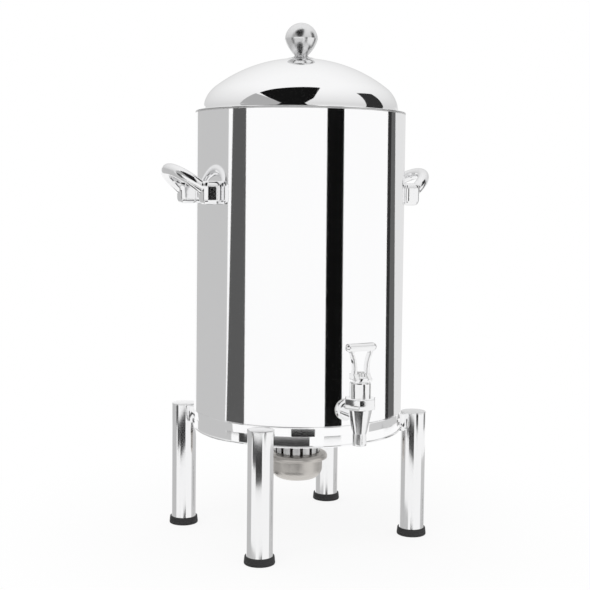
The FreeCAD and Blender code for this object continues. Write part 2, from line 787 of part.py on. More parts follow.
# Handles: cast bows with two feet, whose arms rise outward to a rounded grip.
def make_handle(side, azimuth):
    turn = Placement(Vector(0, 0, 0), Rotation(Vector(0, 0, 1), azimuth))
    body = part_body("bow_" + side)
    sketch = sketch_on(body, "XZ_Plane", "bow_side_" + side)
    wall = "body_radius - 4"
    outline(sketch, [
        (wall, "handle_low"),
        ("handle_foot", "handle_low"),
        ("handle_foot", "handle_low + 10"),
        ("arc", "22", -1),
        ("handle_foot + 8", "handle_shoulder - 8"),
        ("handle_reach - 8", "handle_crest - 17"),
        ("arc", "9.5", 1),
        ("handle_reach - 0.4", "handle_crest - 9"),
        ("arc", "9", 1),
        ("handle_reach - 9", "handle_crest"),
        ("arc", "16", 1),
        ("handle_reach - 18", "handle_crest - 3"),
        ("handle_foot + 2", "handle_shoulder + 2.5"),
        ("arc", "24", -1),
        ("handle_foot - 8", "handle_shoulder"),
        (wall, "handle_shoulder"),
    ])
    padded(body, "bow_block_" + side, sketch, "2 * handle_half_span + 60", both=True)
    plan = sketch_on(body, "XY_Plane", "bow_plan_" + side, "handle_low - 5")
    span = "handle_half_span + handle_foot_half"
    inner = "handle_half_span - handle_foot_half"
    grip = "handle_reach - handle_bar"
    outline(plan, [
        (wall, "-1 * (%s)" % span),
        ("handle_foot", "-1 * (%s)" % span),
        ("handle_reach - 14", "-1 * (%s - 9)" % span),
        ("arc", "16", 1),
        ("handle_reach", "-1 * (%s - 24)" % span),
        ("arc", "150", 1),
        ("handle_reach", "%s - 24" % span),
        ("arc", "16", 1),
        ("handle_reach - 14", "%s - 9" % span),
        ("handle_foot", span),
        (wall, span),
        (wall, inner),
        ("handle_foot - 3", inner),
        (grip + " - 6", "%s - 3" % inner),
        ("arc", "8", -1),
        (grip, "%s - 11" % inner),
        (grip, "-1 * (%s - 11)" % inner),
        ("arc", "8", -1),
        (grip + " - 6", "-1 * (%s - 3)" % inner),
        ("handle_foot - 3", "-1 * (%s)" % inner),
        (wall, "-1 * (%s)" % inner),
    ])
    frame = "handle_half_span + 40"
    outline(plan, [
        (wall + " - 5", "-1 * (%s)" % frame),
        ("handle_reach + 10", "-1 * (%s)" % frame),
        ("handle_reach + 10", frame),
        (wall + " - 5", frame),
    ])
    pocketed(body, "bow_trim_" + side, plan, "handle_crest - handle_low + 20", back=True)
    body.Placement = Placement(Vector(0, 0, 0), Rotation(Vector(0, 0, 1), azimuth))
    wall_tool = doc.addObject("Part::Cylinder", "bow_wall_" + side)
    bind(wall_tool, "Radius", "body_radius")
    bind(wall_tool, "Height", "100")
    at(wall_tool, z="handle_low - 20")
    holes = [rod("bow_hole_" + side, "handle_screw_radius", "body_radius - 6",
                 "handle_foot - 5", azimuth + turn, HANDLE_SCREW_LEVEL)
             for turn in (-HANDLE_TURN, HANDLE_TURN)]
    cut("handle_" + side, body, [wall_tool] + holes)


# Handle screws, from inside the jacket into the feet, each on a washer.
def make_handle_fasteners():
    screws = []
    washers = []
    seat = JACKET_INNER + " - 0.3"
    for azimuth in HANDLE_AZIMUTHS.values():
        for turn in (-HANDLE_TURN, HANDLE_TURN):
            way = azimuth + turn
            shank = rod("handle_screw_shank", "handle_screw_radius", seat + " - 1.2",
                        "handle_foot - 6", way, HANDLE_SCREW_LEVEL)
            head = rod("handle_screw_head", "handle_screw_radius + 2", seat + " - 3.4",
                       seat + " - 1", way, HANDLE_SCREW_LEVEL)
            screws.append(joined("handle_screw", [shank, head]))
            disc = rod("handle_washer_disc", "handle_screw_radius + 3.5", seat + " - 1", seat,
                       way, HANDLE_SCREW_LEVEL)
            bore = rod("handle_washer_bore", "handle_screw_radius + hole_slack",
                       seat + " - 3", seat + " + 3", way, HANDLE_SCREW_LEVEL)
            washers.append(cut("handle_washer", disc, [bore], keep=False))
    grouped("handle_screws", screws)
    grouped("handle_washers", washers)


# Tap body: a conical spout with a valve seat in it.
def make_tap_body():
    body = part_body("spout_cone")
    turned(body, "spout_turn", [
        ("outlet_bore", "nozzle_bottom"),
        ("nozzle_radius - 0.8", "nozzle_bottom"),
        ("nozzle_radius", "nozzle_bottom + 0.8"),
        ("nozzle_radius", "nozzle_bottom + nozzle_length"),
        ("shoulder_radius", "shoulder_level"),
        ("thread_radius", "shoulder_level"),
        ("thread_radius", "shoulder_level + nut_height - 3"),
        ("chamber_bore", "shoulder_level + nut_height - 3"),
        ("chamber_bore", "seat_level"),
        ("outlet_bore", "seat_level"),
    ])
    at(body, y="-1 * tap_reach")
    waterway = rod("waterway", "outlet_bore", VESSEL_INNER + " - shank_inside - 2",
                   "tap_reach", TAP_AZIMUTH, "shank_level")
    cut("tap_body", body, [waterway])


# Tap shank: the threaded pipe through both walls, with a shoulder that seats on the gasket.
def make_shank():
    pipe = rod("shank_bar", "shank_radius", VESSEL_INNER + " - shank_inside",
               "tap_reach - chamber_bore - 1", TAP_AZIMUTH, "shank_level")
    shoulder = rod("shank_shoulder", "gasket_radius", "body_radius + gasket_wall",
                   "body_radius + gasket_wall + 3", TAP_AZIMUTH, "shank_level")
    spout = doc.addObject("Part::Cone", "spout_side")
    bind(spout, "Radius1", "nozzle_radius")
    bind(spout, "Radius2", "shoulder_radius")
    bind(spout, "Height", "shoulder_level - nozzle_bottom - nozzle_length")
    at(spout, y="-1 * tap_reach", z="nozzle_bottom + nozzle_length")
    bore = rod("shank_waterway", "outlet_bore", VESSEL_INNER + " - shank_inside - 2",
               "tap_reach", TAP_AZIMUTH, "shank_level")
    cut("tap_shank", joined("shank_whole", [pipe, shoulder]), [spout, bore])


def make_shank_fittings():
    def hull(name):
        tool = doc.addObject("Part::Cylinder", name)
        return tool

    outer = rod("gasket_disc", "gasket_radius", "body_radius - 3", "body_radius + gasket_wall",
                TAP_AZIMUTH, "shank_level")
    bore = rod("gasket_bore", "shank_radius", "body_radius - 9", "body_radius + 9",
               TAP_AZIMUTH, "shank_level")
    jacket = hull("gasket_wall_tool")
    bind(jacket, "Radius", "body_radius")
    bind(jacket, "Height", "60")
    at(jacket, z="shank_level - 30")
    cut("tap_gasket", outer, [bore, jacket])

    spacer = rod("spacer_disc", "shank_radius + 2.5", VESSEL_OUTER + " - 3", "body_radius",
                 TAP_AZIMUTH, "shank_level")
    spacer_bore = rod("spacer_bore", "shank_radius", VESSEL_OUTER + " - 9", "body_radius + 9",
                      TAP_AZIMUTH, "shank_level")
    gap_out = hull("gap_outer")
    bind(gap_out, "Radius", JACKET_INNER)
    bind(gap_out, "Height", "60")
    at(gap_out, z="shank_level - 30")
    gap_in = hull("gap_inner")
    bind(gap_in, "Radius", VESSEL_OUTER)
    bind(gap_in, "Height", "80")
    at(gap_in, z="shank_level - 40")
    inside = doc.addObject("Part::Common", "spacer_in_gap")
    inside.Base = spacer
    inside.Tool = gap_out
    cut("shank_spacer", inside, [spacer_bore, gap_in])

    seal = rod("seal_disc", "gasket_radius - 1.5", VESSEL_INNER + " - gasket_wall",
               VESSEL_INNER + " + 3", TAP_AZIMUTH, "shank_level")
    seal_bore = rod("seal_bore", "shank_radius", VESSEL_INNER + " - 12", VESSEL_INNER + " + 9",
                    TAP_AZIMUTH, "shank_level")
    vessel = hull("vessel_face")
    bind(vessel, "Radius", VESSEL_INNER)
    bind(vessel, "Height", "60")
    at(vessel, z="shank_level - 30")
    inner_side = doc.addObject("Part::Common", "seal_inside")
    inner_side.Base = seal
    inner_side.Tool = vessel
    cut("shank_seal", inner_side, [seal_bore])

    face = VESSEL_INNER + " - gasket_wall"
    nut = hexagon("locknut_hex", "locknut_flats", face + " - locknut_wall", face, TAP_AZIMUTH,
                  "shank_level")
    nut_bore = rod("locknut_bore", "shank_radius", face + " - 20", face + " + 2", TAP_AZIMUTH,
                   "shank_level")
    cut("shank_locknut", nut, [nut_bore])


# Hex nut and bonnet that close the tap body, with a lug on top for the lever's pin.
def make_bonnet():
    nut = part_body("bonnet_nut")
    sketch = sketch_on(nut, "XY_Plane", "nut_plan", "shoulder_level")
    flats = number("nut_flats")
    corner = flats / math.sqrt(3)
    count = 6
    edges = []
    for index in range(count):
        a = math.radians(60 * index)
        b = math.radians(60 * (index + 1))
        edges.append(sketch.addGeometry(Part.LineSegment(
            Vector(corner * math.cos(a), corner * math.sin(a), 0),
            Vector(corner * math.cos(b), corner * math.sin(b), 0)), False))
    guide = sketch.addGeometry(Part.Circle(Vector(0, 0, 0), Vector(0, 0, 1), corner), True)
    sketch.addConstraint(Sketcher.Constraint("Coincident", guide, 3, -1, 1))
    for index in range(count):
        sketch.addConstraint(Sketcher.Constraint("Coincident", edges[index], 2,
                                                 edges[(index + 1) % count], 1))
        sketch.addConstraint(Sketcher.Constraint("PointOnObject", edges[index], 1, guide))
        if index:
            sketch.addConstraint(Sketcher.Constraint("Equal", edges[0], edges[index]))
    sketch.addConstraint(Sketcher.Constraint("PointOnObject", edges[0], 1, -1))
    tie = sketch.addConstraint(Sketcher.Constraint("Radius", guide, corner))
    bind(sketch, "Constraints[%d]" % tie, "nut_flats * %r" % (1 / math.sqrt(3)))
    ring(sketch, "0", "0", "thread_radius + 0.05")
    padded(nut, "nut_pad", sketch, "nut_height")
    at(nut, y="-1 * tap_reach")

    bonnet = part_body("bonnet")
    top = "bonnet_top"
    roof = "bonnet_top - bonnet_roof"
    neck = "shoulder_level + nut_height"
    turned(bonnet, "bonnet_turn", [
        ("chamber_bore", neck + " - 3"),
        ("thread_radius", neck + " - 3"),
        ("thread_radius", neck),
        ("bonnet_radius + 0.4", neck),
        ("bonnet_radius", neck + " + 1.2"),
        ("bonnet_radius", top + " - 1.4"),
        ("bonnet_radius - 1.2", top),
        ("stem_radius + run_gap", top),
        ("stem_radius + run_gap", roof),
        ("chamber_bore", roof),
    ])
    lug = sketch_on(bonnet, "YZ_Plane", "lug_side")
    low = top + " - 1"
    outline(lug, [
        ("-1 * pin_forward - 3", low),
        ("-1 * pin_forward + 3", low),
        ("-1 * pin_forward + 3", "pin_level"),
        ("arc", "3", 1),
        ("-1 * pin_forward", "pin_level + 3"),
        ("arc", "3", 1),
        ("-1 * pin_forward - 3", "pin_level"),
    ])
    padded(bonnet, "lug_pad", lug, "2 * lever_side - 0.6", both=True)
    hole = sketch_on(bonnet, "YZ_Plane", "lug_hole_side")
    ring(hole, "-1 * pin_forward", "pin_level", "pin_radius")
    pocketed(bonnet, "lug_hole", hole, "2 * lever_side + 10", both=True)
    at(bonnet, y="-1 * tap_reach")


# Valve: stem with its head and spring collar, the soft seat cup, and the return spring.
def make_valve():
    stem = part_body("valve_stem")
    head = "web_high + 0.3"
    turned(stem, "stem_turn", [
        ("0", "seat_level + 2.5"),
        ("stem_radius", "seat_level + 2.5"),
        ("stem_radius", "collar_level - 2"),
        ("collar_radius", "collar_level - 2"),
        ("collar_radius", "collar_level"),
        ("stem_radius", "collar_level"),
        ("stem_radius", head),
        ("stem_head", head),
        ("stem_head", head + " + stem_head_wall - 1"),
        ("arc", "1", 1),
        ("stem_head - 1", head + " + stem_head_wall"),
        ("0", head + " + stem_head_wall"),
    ])
    at(stem, y="-1 * tap_reach")
    cup = part_body("seat_cup")
    turned(cup, "seat_turn", [
        ("0", "seat_level + 0.3"),
        ("outlet_bore + 2", "seat_level + 0.3"),
        ("outlet_bore + 3", "seat_level + 2.3"),
        ("outlet_bore + 2", "seat_level + 9"),
        ("stem_radius", "seat_level + 11"),
        ("stem_radius", "seat_level + 2.5"),
        ("0", "seat_level + 2.5"),
    ])
    at(cup, y="-1 * tap_reach")

    spring = doc.addObject("Part::Feature", "return_spring")
    wire = size("spring_wire")
    low = size("collar_level") + wire / 2 + 0.1
    high = size("bonnet_top") - size("bonnet_roof") - wire / 2 - 0.1
    turns = int(size("spring_turns"))
    pitch = (high - low) / turns
    radius = size("spring_radius")
    quarters = 4 * turns

    def on_helix(step):
        angle = step * math.pi / 2
        return Vector(radius * math.cos(angle), radius * math.sin(angle),
                      pitch * step / 4)

    def slope(step):
        angle = step * math.pi / 2
        return Vector(-radius * math.sin(angle), radius * math.cos(angle),
                      pitch / (2 * math.pi)).normalize()

    points = [on_helix(step / 9) for step in range(9 * quarters + 1)]
    half_turn = 18
    least = min(a.distanceToPoint(b) for i, a in enumerate(points)
                for b in points[i + half_turn:])
    print("return_spring least gap to itself %.2f mm" % (least - wire))

    arcs = []
    for step in range(quarters):
        arcs.extend(biarc(on_helix(step), slope(step), on_helix(step + 1), slope(step + 1)))
    path = Part.Wire(arcs)
    section = Part.Wire([Part.Circle(on_helix(0), slope(0), wire / 2).toShape()])
    spring.Shape = path.makePipeShell([section], True, False)
    spring.Placement = Placement(Vector(0, -size("tap_reach"), low), Rotation())
    spring.Label = "return_spring"
    PARTS.append(spring)


def biarc(p, tp, q, tq):
    """Two arcs that leave p along tp, reach q along tq and meet without a corner."""
    v = q - p
    t = tp + tq
    a = 2 * (1 - tp.dot(tq))
    b = 2 * v.dot(t)
    c = -v.dot(v)
    reach = (-b + math.sqrt(b * b - 4 * a * c)) / (2 * a)
    reach = abs(reach)
    m = (p + tp * reach + q - tq * reach) * 0.5
    pieces = []
    for start, way, end in ((p, tp, m), (q, tq * -1, m)):
        chord = end - start
        side = chord - way * chord.dot(way)
        radius = chord.dot(chord) / (2 * side.Length)
        centre = start + side.normalize() * radius
        middle = centre + ((start + end) * 0.5 - centre).normalize() * radius
        pieces.append((start, middle, end))
    second = pieces[1]
    return [Part.Arc(*pieces[0]).toShape(), Part.Arc(second[2], second[1], second[0]).toShape()]


# Tap lever: a stirrup with a cross bar on top, pinned in front of the valve stem.
def make_lever():
    lever = part_body("tap_lever")
    top = "bar_level - bar_radius / 2"
    sketch = sketch_on(lever, "XZ_Plane", "stirrup_front")
    outline(sketch, [
        ("-1 * lever_half", "web_low"),
        ("lever_half", "web_low"),
        ("lever_half", "web_high"),
        ("arc", "40", -1),
        ("lever_top_half", "bar_level - 6"),
        ("lever_top_half", top),
        ("-1 * lever_top_half", top),
        ("-1 * lever_top_half", "bar_level - 6"),
        ("arc", "40", -1),
        ("-1 * lever_half", "web_high"),
    ])
    outline(sketch, [
        ("-1 * lever_half + lever_arm + 1", "web_high"),
        ("lever_half - lever_arm - 1", "web_high"),
        ("arc", "44", -1),
        ("lever_top_half - lever_arm", "bar_level - 7"),
        ("arc", "3", 1),
        ("lever_top_half - lever_arm - 3", "bar_level - 4.5"),
        ("-1 * lever_top_half + lever_arm + 3", "bar_level - 4.5"),
        ("arc", "3", 1),
        ("-1 * lever_top_half + lever_arm", "bar_level - 7"),
        ("arc", "44", -1),
    ])
    padded(lever, "stirrup", sketch, "lever_depth", both=True)
    web = sketch_on(lever, "YZ_Plane", "web_side")
    outline(web, [
        ("-1 * pin_forward", "pin_level - eye_radius"),
        ("arc", "eye_radius", 1),
        ("-1 * pin_forward + eye_radius - 0.6", "web_low"),
        ("web_back", "web_low"),
        ("web_back", "web_high"),
        ("-1 * lever_depth / 2", "web_high"),
        ("-1 * pin_forward - eye_radius", "pin_level"),
        ("arc", "eye_radius", 1),
    ])
    padded(lever, "web", web, "2 * lever_half", both=True)
    slot = sketch_on(lever, "XY_Plane", "slot_plan", "pin_level - 10")
    lug_back = "-1 * pin_forward + 3.9"
    outline(slot, [
        ("-1 * lever_side", "-1 * pin_forward - 12"),
        ("lever_side", "-1 * pin_forward - 12"),
        ("lever_side", lug_back),
        ("stem_radius + 0.7", lug_back),
        ("stem_radius + 0.7", "web_back - 1.8"),
        ("-1 * stem_radius - 0.7", "web_back - 1.8"),
        ("-1 * stem_radius - 0.7", lug_back),
        ("-1 * lever_side", lug_back),
    ])
    pocketed(lever, "slot", slot, "web_high - pin_level + 10", back=True)
    hole = sketch_on(lever, "YZ_Plane", "pin_hole_side")
    ring(hole, "-1 * pin_forward", "pin_level", "pin_radius + run_gap")
    pocketed(lever, "pin_hole", hole, "2 * lever_half + 10", both=True)
    bar = sketch_on(lever, "XZ_Plane", "bar_section")
    outline(bar, [
        ("-1 * bar_half", "bar_level"),
        ("bar_half", "bar_level"),
        ("arc", "bar_radius", 1),
        ("bar_half - bar_radius", "bar_level + bar_radius"),
        ("-1 * bar_half + bar_radius", "bar_level + bar_radius"),
        ("arc", "bar_radius", 1),
    ])
    spin = lever.newObject("PartDesign::Revolution", "bar")
    spin.Profile = bar
    spin.ReferenceAxis = (bar, ["Edge1"])
    spin.Angle = 360
    at(lever, y="-1 * tap_reach")

    pin = part_body("lever_pin")
    side = sketch_on(pin, "YZ_Plane", "pin_side")
    ring(side, "-1 * pin_forward", "pin_level", "pin_radius")
    padded(pin, "pin_pad", side, "2 * lever_half - 0.4", both=True)
    at(pin, y="-1 * tap_reach")


make_jacket()
make_vessel()
make_band()
make_deck()
make_collar()
make_burner()
for leg, leg_azimuth in LEG_AZIMUTHS.items():
    make_leg(leg, leg_azimuth)
    make_saddle(leg, leg_azimuth)
make_leg_fasteners()
make_lid()
for handle_side, handle_azimuth in HANDLE_AZIMUTHS.items():
    make_handle(handle_side, handle_azimuth)
make_handle_fasteners()
make_tap_body()
make_shank()
make_shank_fittings()
make_bonnet()
make_valve()
make_lever()
doc.recompute()

for thing in doc.Objects:
    if "Invalid" in thing.State or "Error" in thing.State:
        raise RuntimeError("%s failed: %s" % (thing.Name, thing.State))
for part in PARTS:
    if part.Shape.isNull() or not part.Shape.isValid():
        raise RuntimeError(part.Label + " has no valid shape")
os.makedirs("parts", exist_ok=True)
for part in PARTS:
    part.Shape.exportStep("parts/%s.step" % part.Label)
    print("%-24s %2d solids %10.1f mm3" % (part.Label, len(part.Shape.Solids), part.Shape.Volume))
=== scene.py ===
"""A polished coffee urn on four tube legs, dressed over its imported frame.

Every piece is in metres, in the frame's own place: the origin is on the urn's axis at
the table top, +Z is up and the tap faces -Y. Run as a script, it builds the whole urn
and its studio; each button of its panel builds one group of pieces.
"""

import json
import math

import bpy
from mathutils import Matrix, Vector


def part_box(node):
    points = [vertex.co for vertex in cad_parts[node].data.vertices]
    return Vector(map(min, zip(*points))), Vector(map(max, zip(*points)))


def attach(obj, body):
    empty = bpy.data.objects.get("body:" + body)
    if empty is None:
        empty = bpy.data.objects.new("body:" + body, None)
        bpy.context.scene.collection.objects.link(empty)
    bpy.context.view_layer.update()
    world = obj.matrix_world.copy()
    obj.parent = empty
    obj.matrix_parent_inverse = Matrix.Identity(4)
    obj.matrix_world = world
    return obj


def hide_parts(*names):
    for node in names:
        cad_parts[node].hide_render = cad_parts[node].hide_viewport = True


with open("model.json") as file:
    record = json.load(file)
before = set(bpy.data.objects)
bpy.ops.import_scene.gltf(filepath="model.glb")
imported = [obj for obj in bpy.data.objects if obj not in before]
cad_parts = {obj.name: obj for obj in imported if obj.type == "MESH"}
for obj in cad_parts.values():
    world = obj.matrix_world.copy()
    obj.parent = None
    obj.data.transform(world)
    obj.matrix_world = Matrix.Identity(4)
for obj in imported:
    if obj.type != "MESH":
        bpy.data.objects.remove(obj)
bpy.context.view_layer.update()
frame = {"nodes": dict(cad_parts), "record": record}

bl_info = {
    "name": "Coffee Urn Pieces",
    "version": (1, 0, 0),
    "blender": (4, 5, 0),
    "location": "View3D > Sidebar > Urn",
    "description": "Builds a polished coffee urn, its tap, burner, legs and studio",
    "category": "Object",
}

LEGS = ("front_left", "front_right", "back_right", "back_left")
TENT_CENTRE = Vector((0, 0, 0.5))


def low(node):
    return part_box(node)[0]


def high(node):
    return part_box(node)[1]


def middle(node):
    return (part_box(node)[0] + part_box(node)[1]) / 2


BODY_RADIUS = high("outer_jacket").x
BAND_LOW, BAND_TOP = low("base_band").z, high("base_band").z
JACKET_TOP = high("outer_jacket").z
DOME_TOP = high("lid_dome").z
DOME_LOW = low("lid_dome").z
KNOB_LOW, KNOB_TOP = low("lid_knob").z, high("lid_knob").z
KNOB_RADIUS = high("lid_knob").x
LEG_RADIUS = (high("leg_front_left").x - low("leg_front_left").x) / 2
TAP = middle("bonnet_nut")


class UrnSizes(bpy.types.PropertyGroup):
    """Sizes of the visual detail. The frame settles every other size."""

    body_segments: bpy.props.IntProperty(
        name="Body Segments", description="Faces round the jacket, band and dome",
        default=224, min=48, max=512)
    small_segments: bpy.props.IntProperty(
        name="Small Segments", description="Faces round the legs, knob, cup and tap",
        default=96, min=24, max=256)
    arc_steps: bpy.props.IntProperty(
        name="Arc Steps", description="Steps along each arc of a turned section",
        default=14, min=4, max=48)
    edge_round: bpy.props.FloatProperty(
        name="Edge Rounding", description="Radius of the small rounded edges",
        default=0.0005, min=0.0, max=0.002, unit="LENGTH")
    wall: bpy.props.FloatProperty(
        name="Sheet Thickness", description="Thickness of the jacket and dome sheet",
        default=0.001, min=0.0005, max=0.003, unit="LENGTH")
    handle_voxel: bpy.props.FloatProperty(
        name="Handle Grain", description="Size of the voxels that soften the cast handles",
        default=0.0008, min=0.0004, max=0.003, unit="LENGTH")
    lever_voxel: bpy.props.FloatProperty(
        name="Lever Grain", description="Size of the voxels that soften the cast lever",
        default=0.0004, min=0.0002, max=0.002, unit="LENGTH")


class UrnFinishes(bpy.types.PropertyGroup):
    """Colours and roughness of the finishes."""

    mirror: bpy.props.FloatVectorProperty(
        name="Mirror Steel", description="Colour of the mirror polished sheet",
        subtype="COLOR", size=3, default=(0.975, 0.975, 0.98), min=0, max=1)
    cast: bpy.props.FloatVectorProperty(
        name="Cast Chrome", description="Colour of the plated castings",
        subtype="COLOR", size=3, default=(0.9, 0.9, 0.905), min=0, max=1)
    satin: bpy.props.FloatVectorProperty(
        name="Satin Steel", description="Colour of the inside sheet steel",
        subtype="COLOR", size=3, default=(0.68, 0.68, 0.68), min=0, max=1)
    cup: bpy.props.FloatVectorProperty(
        name="Cup Steel", description="Colour of the brushed fuel cup",
        subtype="COLOR", size=3, default=(0.6, 0.575, 0.545), min=0, max=1)
    rubber: bpy.props.FloatVectorProperty(
        name="Foot Rubber", description="Colour of the rubber feet",
        subtype="COLOR", size=3, default=(0.02, 0.02, 0.021), min=0, max=1)
    silicone: bpy.props.FloatVectorProperty(
        name="Silicone", description="Colour of the gasket, seals and seat",
        subtype="COLOR", size=3, default=(0.55, 0.55, 0.53), min=0, max=1)
    mirror_roughness: bpy.props.FloatProperty(
        name="Mirror Roughness", description="Roughness of the mirror polished sheet",
        default=0.035, min=0.0, max=1.0, subtype="FACTOR")
    cast_roughness: bpy.props.FloatProperty(
        name="Cast Roughness", description="Roughness of the plated castings",
        default=0.1, min=0.0, max=1.0, subtype="FACTOR")
    knob_roughness: bpy.props.FloatProperty(
        name="Knob Roughness", description="Roughness of the softly polished knob",
        default=0.24, min=0.0, max=1.0, subtype="FACTOR")
    tube_roughness: bpy.props.FloatProperty(
        name="Tube Roughness", description="Roughness of the chromed legs",
        default=0.05, min=0.0, max=1.0, subtype="FACTOR")
    brushed_roughness: bpy.props.FloatProperty(
        name="Brushed Roughness", description="Roughness of the brushed steel",
        default=0.34, min=0.0, max=1.0, subtype="FACTOR")


class UrnStudio(bpy.types.PropertyGroup):
    """The floor, the lamps and the reflecting tent."""

    tent_radius: bpy.props.FloatProperty(
        name="Tent Radius", description="Radius of the panels that the polished steel mirrors",
        default=1.5, min=0.8, max=4.0, unit="LENGTH")
    key_power: bpy.props.FloatProperty(
        name="Key Power", description="Power of the soft key lamp",
        default=16.0, min=0.0, max=200.0, unit="POWER")
    surround: bpy.props.FloatProperty(
        name="Surround", description="Strength of the plain light from all round",
        default=0.8, min=0.0, max=2.0)


class Link:
    """A socket that takes part in sums: each operator adds its Math node."""

    def __init__(self, finish, socket):
        self.finish = finish
        self.socket = socket

    def sum(self, operation, first, second):
        return self.finish.node("ShaderNodeMath", {"operation": operation},
                                {0: first, 1: second})

    def __add__(self, other):
        return self.sum("ADD", self, other)

    def __sub__(self, other):
        return self.sum("SUBTRACT", self, other)

    def __rsub__(self, other):
        return self.sum("SUBTRACT", other, self)

    def __mul__(self, other):
        return self.sum("MULTIPLY", self, other)

    __radd__ = __add__
    __rmul__ = __mul__


class Finish:
    """A material whose nodes are added one call at a time."""

    def __init__(self, name, **constants):
        self.material = bpy.data.materials.get(name) or bpy.data.materials.new(name)
        self.material.use_nodes = True
        self.tree = self.material.node_tree
        self.tree.nodes.clear()
        self.shader = self.tree.nodes.new("ShaderNodeBsdfPrincipled")
        self.out = self.tree.nodes.new("ShaderNodeOutputMaterial")
        self.tree.links.new(self.shader.outputs[0], self.out.inputs[0])
        for socket, value in constants.items():
            self.shader.inputs[socket.replace("_", " ")].default_value = value

    def node(self, kind, settings=None, inputs=None, output=0):
        made = self.tree.nodes.new(kind)
        for name, value in (settings or {}).items():
            if name == "stops":
                ramp = made.color_ramp.elements
                for stop, (at, colour) in enumerate(value):
                    place = ramp[stop] if stop < len(ramp) else ramp.new(at)
                    place.position, place.color = at, (*colour, 1)
            else:
                setattr(made, name, value)
        for name, value in (inputs or {}).items():
            self.put(made.inputs[name], value)
        return Link(self, made.outputs[output])

    def put(self, socket, value):
        if isinstance(value, Link):
            self.tree.links.new(value.socket, socket)
        else:
            socket.default_value = value

    def feed(self, name, value):
        self.put(self.shader.inputs[name], value)

    def place(self, scale=(1, 1, 1)):
        """Object coordinates, stretched."""
        here = self.node("ShaderNodeTexCoord", output="Object")
        return self.node("ShaderNodeMapping", {}, {"Vector": here, "Scale": scale})

    def noise(self, where, scale, detail=3.0):
        return self.node("ShaderNodeTexNoise", {}, {"Vector": where, "Scale": scale,
                                                    "Detail": detail})

    def tint(self, amount, dark, light):
        """A colour that wanders between two by a value from 0 to 1."""
        return self.node("ShaderNodeMix", {"data_type": "RGBA"},
                         {0: amount, 6: (*dark, 1), 7: (*light, 1)}, output=2)

    def bump(self, height, strength, distance):
        self.feed("Normal", self.node("ShaderNodeBump", {}, {
            "Height": height, "Strength": strength, "Distance": distance}))


def shade(colour, factor):
    return tuple(min(1, value * factor) for value in colour[:3])


def polished(name, colour, roughness, haze, ripple):
    """Bright polished metal: faint haze in drifting patches and hair-fine polishing lines."""
    finish = Finish(name, Metallic=1.0)
    drift = finish.noise(finish.place((6, 6, 3)), 1.6, 2.0)
    lines = finish.noise(finish.place((14, 14, 900)), 1.0, 2.0)
    finish.feed("Base Color", finish.tint(drift, shade(colour, 0.985), shade(colour, 1.0)))
    finish.feed("Roughness", roughness + drift * haze + lines * (haze * 0.4))
    finish.bump(lines, ripple, 0.00004)
    return finish.material


def casting(name, colour, roughness):
    """Plating over a cast surface: bright, with a slow waviness under it."""
    finish = Finish(name, Metallic=1.0)
    wave = finish.noise(finish.place((1, 1, 1)), 60.0, 1.0)
    spots = finish.noise(finish.place((1, 1, 1)), 900.0, 2.0)
    finish.feed("Base Color", finish.tint(wave, shade(colour, 0.97), shade(colour, 1.0)))
    finish.feed("Roughness", roughness + wave * 0.03 + spots * 0.02)
    finish.bump(wave, 0.25, 0.0002)
    return finish.material


def brushed(name, colour, roughness, stretch, depth):
    """Brushed steel: fine scratches along one way, each a little lighter or darker."""
    finish = Finish(name, Metallic=1.0)
    scratch = finish.noise(finish.place(stretch), 1.0, 4.0)
    cloud = finish.noise(finish.place((1, 1, 1)), 22.0, 3.0)
    mixed = scratch * 0.65 + cloud * 0.35
    finish.feed("Base Color", finish.tint(mixed, shade(colour, 0.82), shade(colour, 1.12)))
    finish.feed("Roughness", roughness + (mixed - 0.5) * 0.22)
    finish.bump(scratch, 0.35, depth)
    return finish.material


def moulded(name, colour, roughness, grain):
    """Moulded rubber or silicone: matt, with a fine grain and a dusty bloom."""
    finish = Finish(name, Metallic=0.0)
    speck = finish.noise(finish.place(), grain, 4.0)
    bloom = finish.noise(finish.place(), 45.0, 3.0)
    finish.feed("Base Color", finish.tint(bloom, shade(colour, 0.8), shade(colour, 1.5)))
    finish.feed("Roughness", roughness + speck * 0.2)
    finish.bump(speck, 0.4, 0.0002)
    return finish.material


def finish_for(slot):
    """The material that stands for one of the record's slots."""
    ready = bpy.data.materials.get("urn_" + slot)
    if ready:
        return ready
    tone = bpy.context.scene.urn_finishes
    name = "urn_" + slot
    if slot == "mirror_steel":
        return polished(name, tone.mirror, tone.mirror_roughness, 0.02, 0.02)
    if slot == "tube_chrome":
        return polished(name, tone.cast, tone.tube_roughness, 0.03, 0.02)
    if slot == "cast_chrome":
        return casting(name, tone.cast, tone.cast_roughness)
    if slot == "satin_steel":
        return brushed(name, tone.satin, tone.brushed_roughness, (40, 40, 700), 0.00004)
    if slot == "cap_steel":
        return brushed(name, shade(tone.mirror, 0.9), 0.2, (900, 30, 30), 0.00003)
    if slot == "cup_steel":
        return brushed(name, tone.cup, tone.brushed_roughness, (18, 18, 1500), 0.00006)
    if slot == "foot_rubber":
        return moulded(name, tone.rubber, 0.55, 1400.0)
    if slot == "silicone":
        return moulded(name, tone.silicone, 0.4, 500.0)
    if slot == "valve_steel":
        return brushed(name, shade(tone.satin, 1.1), 0.2, (200, 200, 3000), 0.00003)
    return brushed(name, shade(tone.satin, 0.9), 0.28, (600, 600, 600), 0.00003)


def fresh():
    """Nothing selected, in object mode, ready for a new primitive."""
    if bpy.context.object and bpy.context.object.mode != "OBJECT":
        bpy.ops.object.mode_set(mode="OBJECT")
    bpy.ops.object.select_all(action="DESELECT")


def only(piece):
    fresh()
    piece.select_set(True)
    bpy.context.view_layer.objects.active = piece


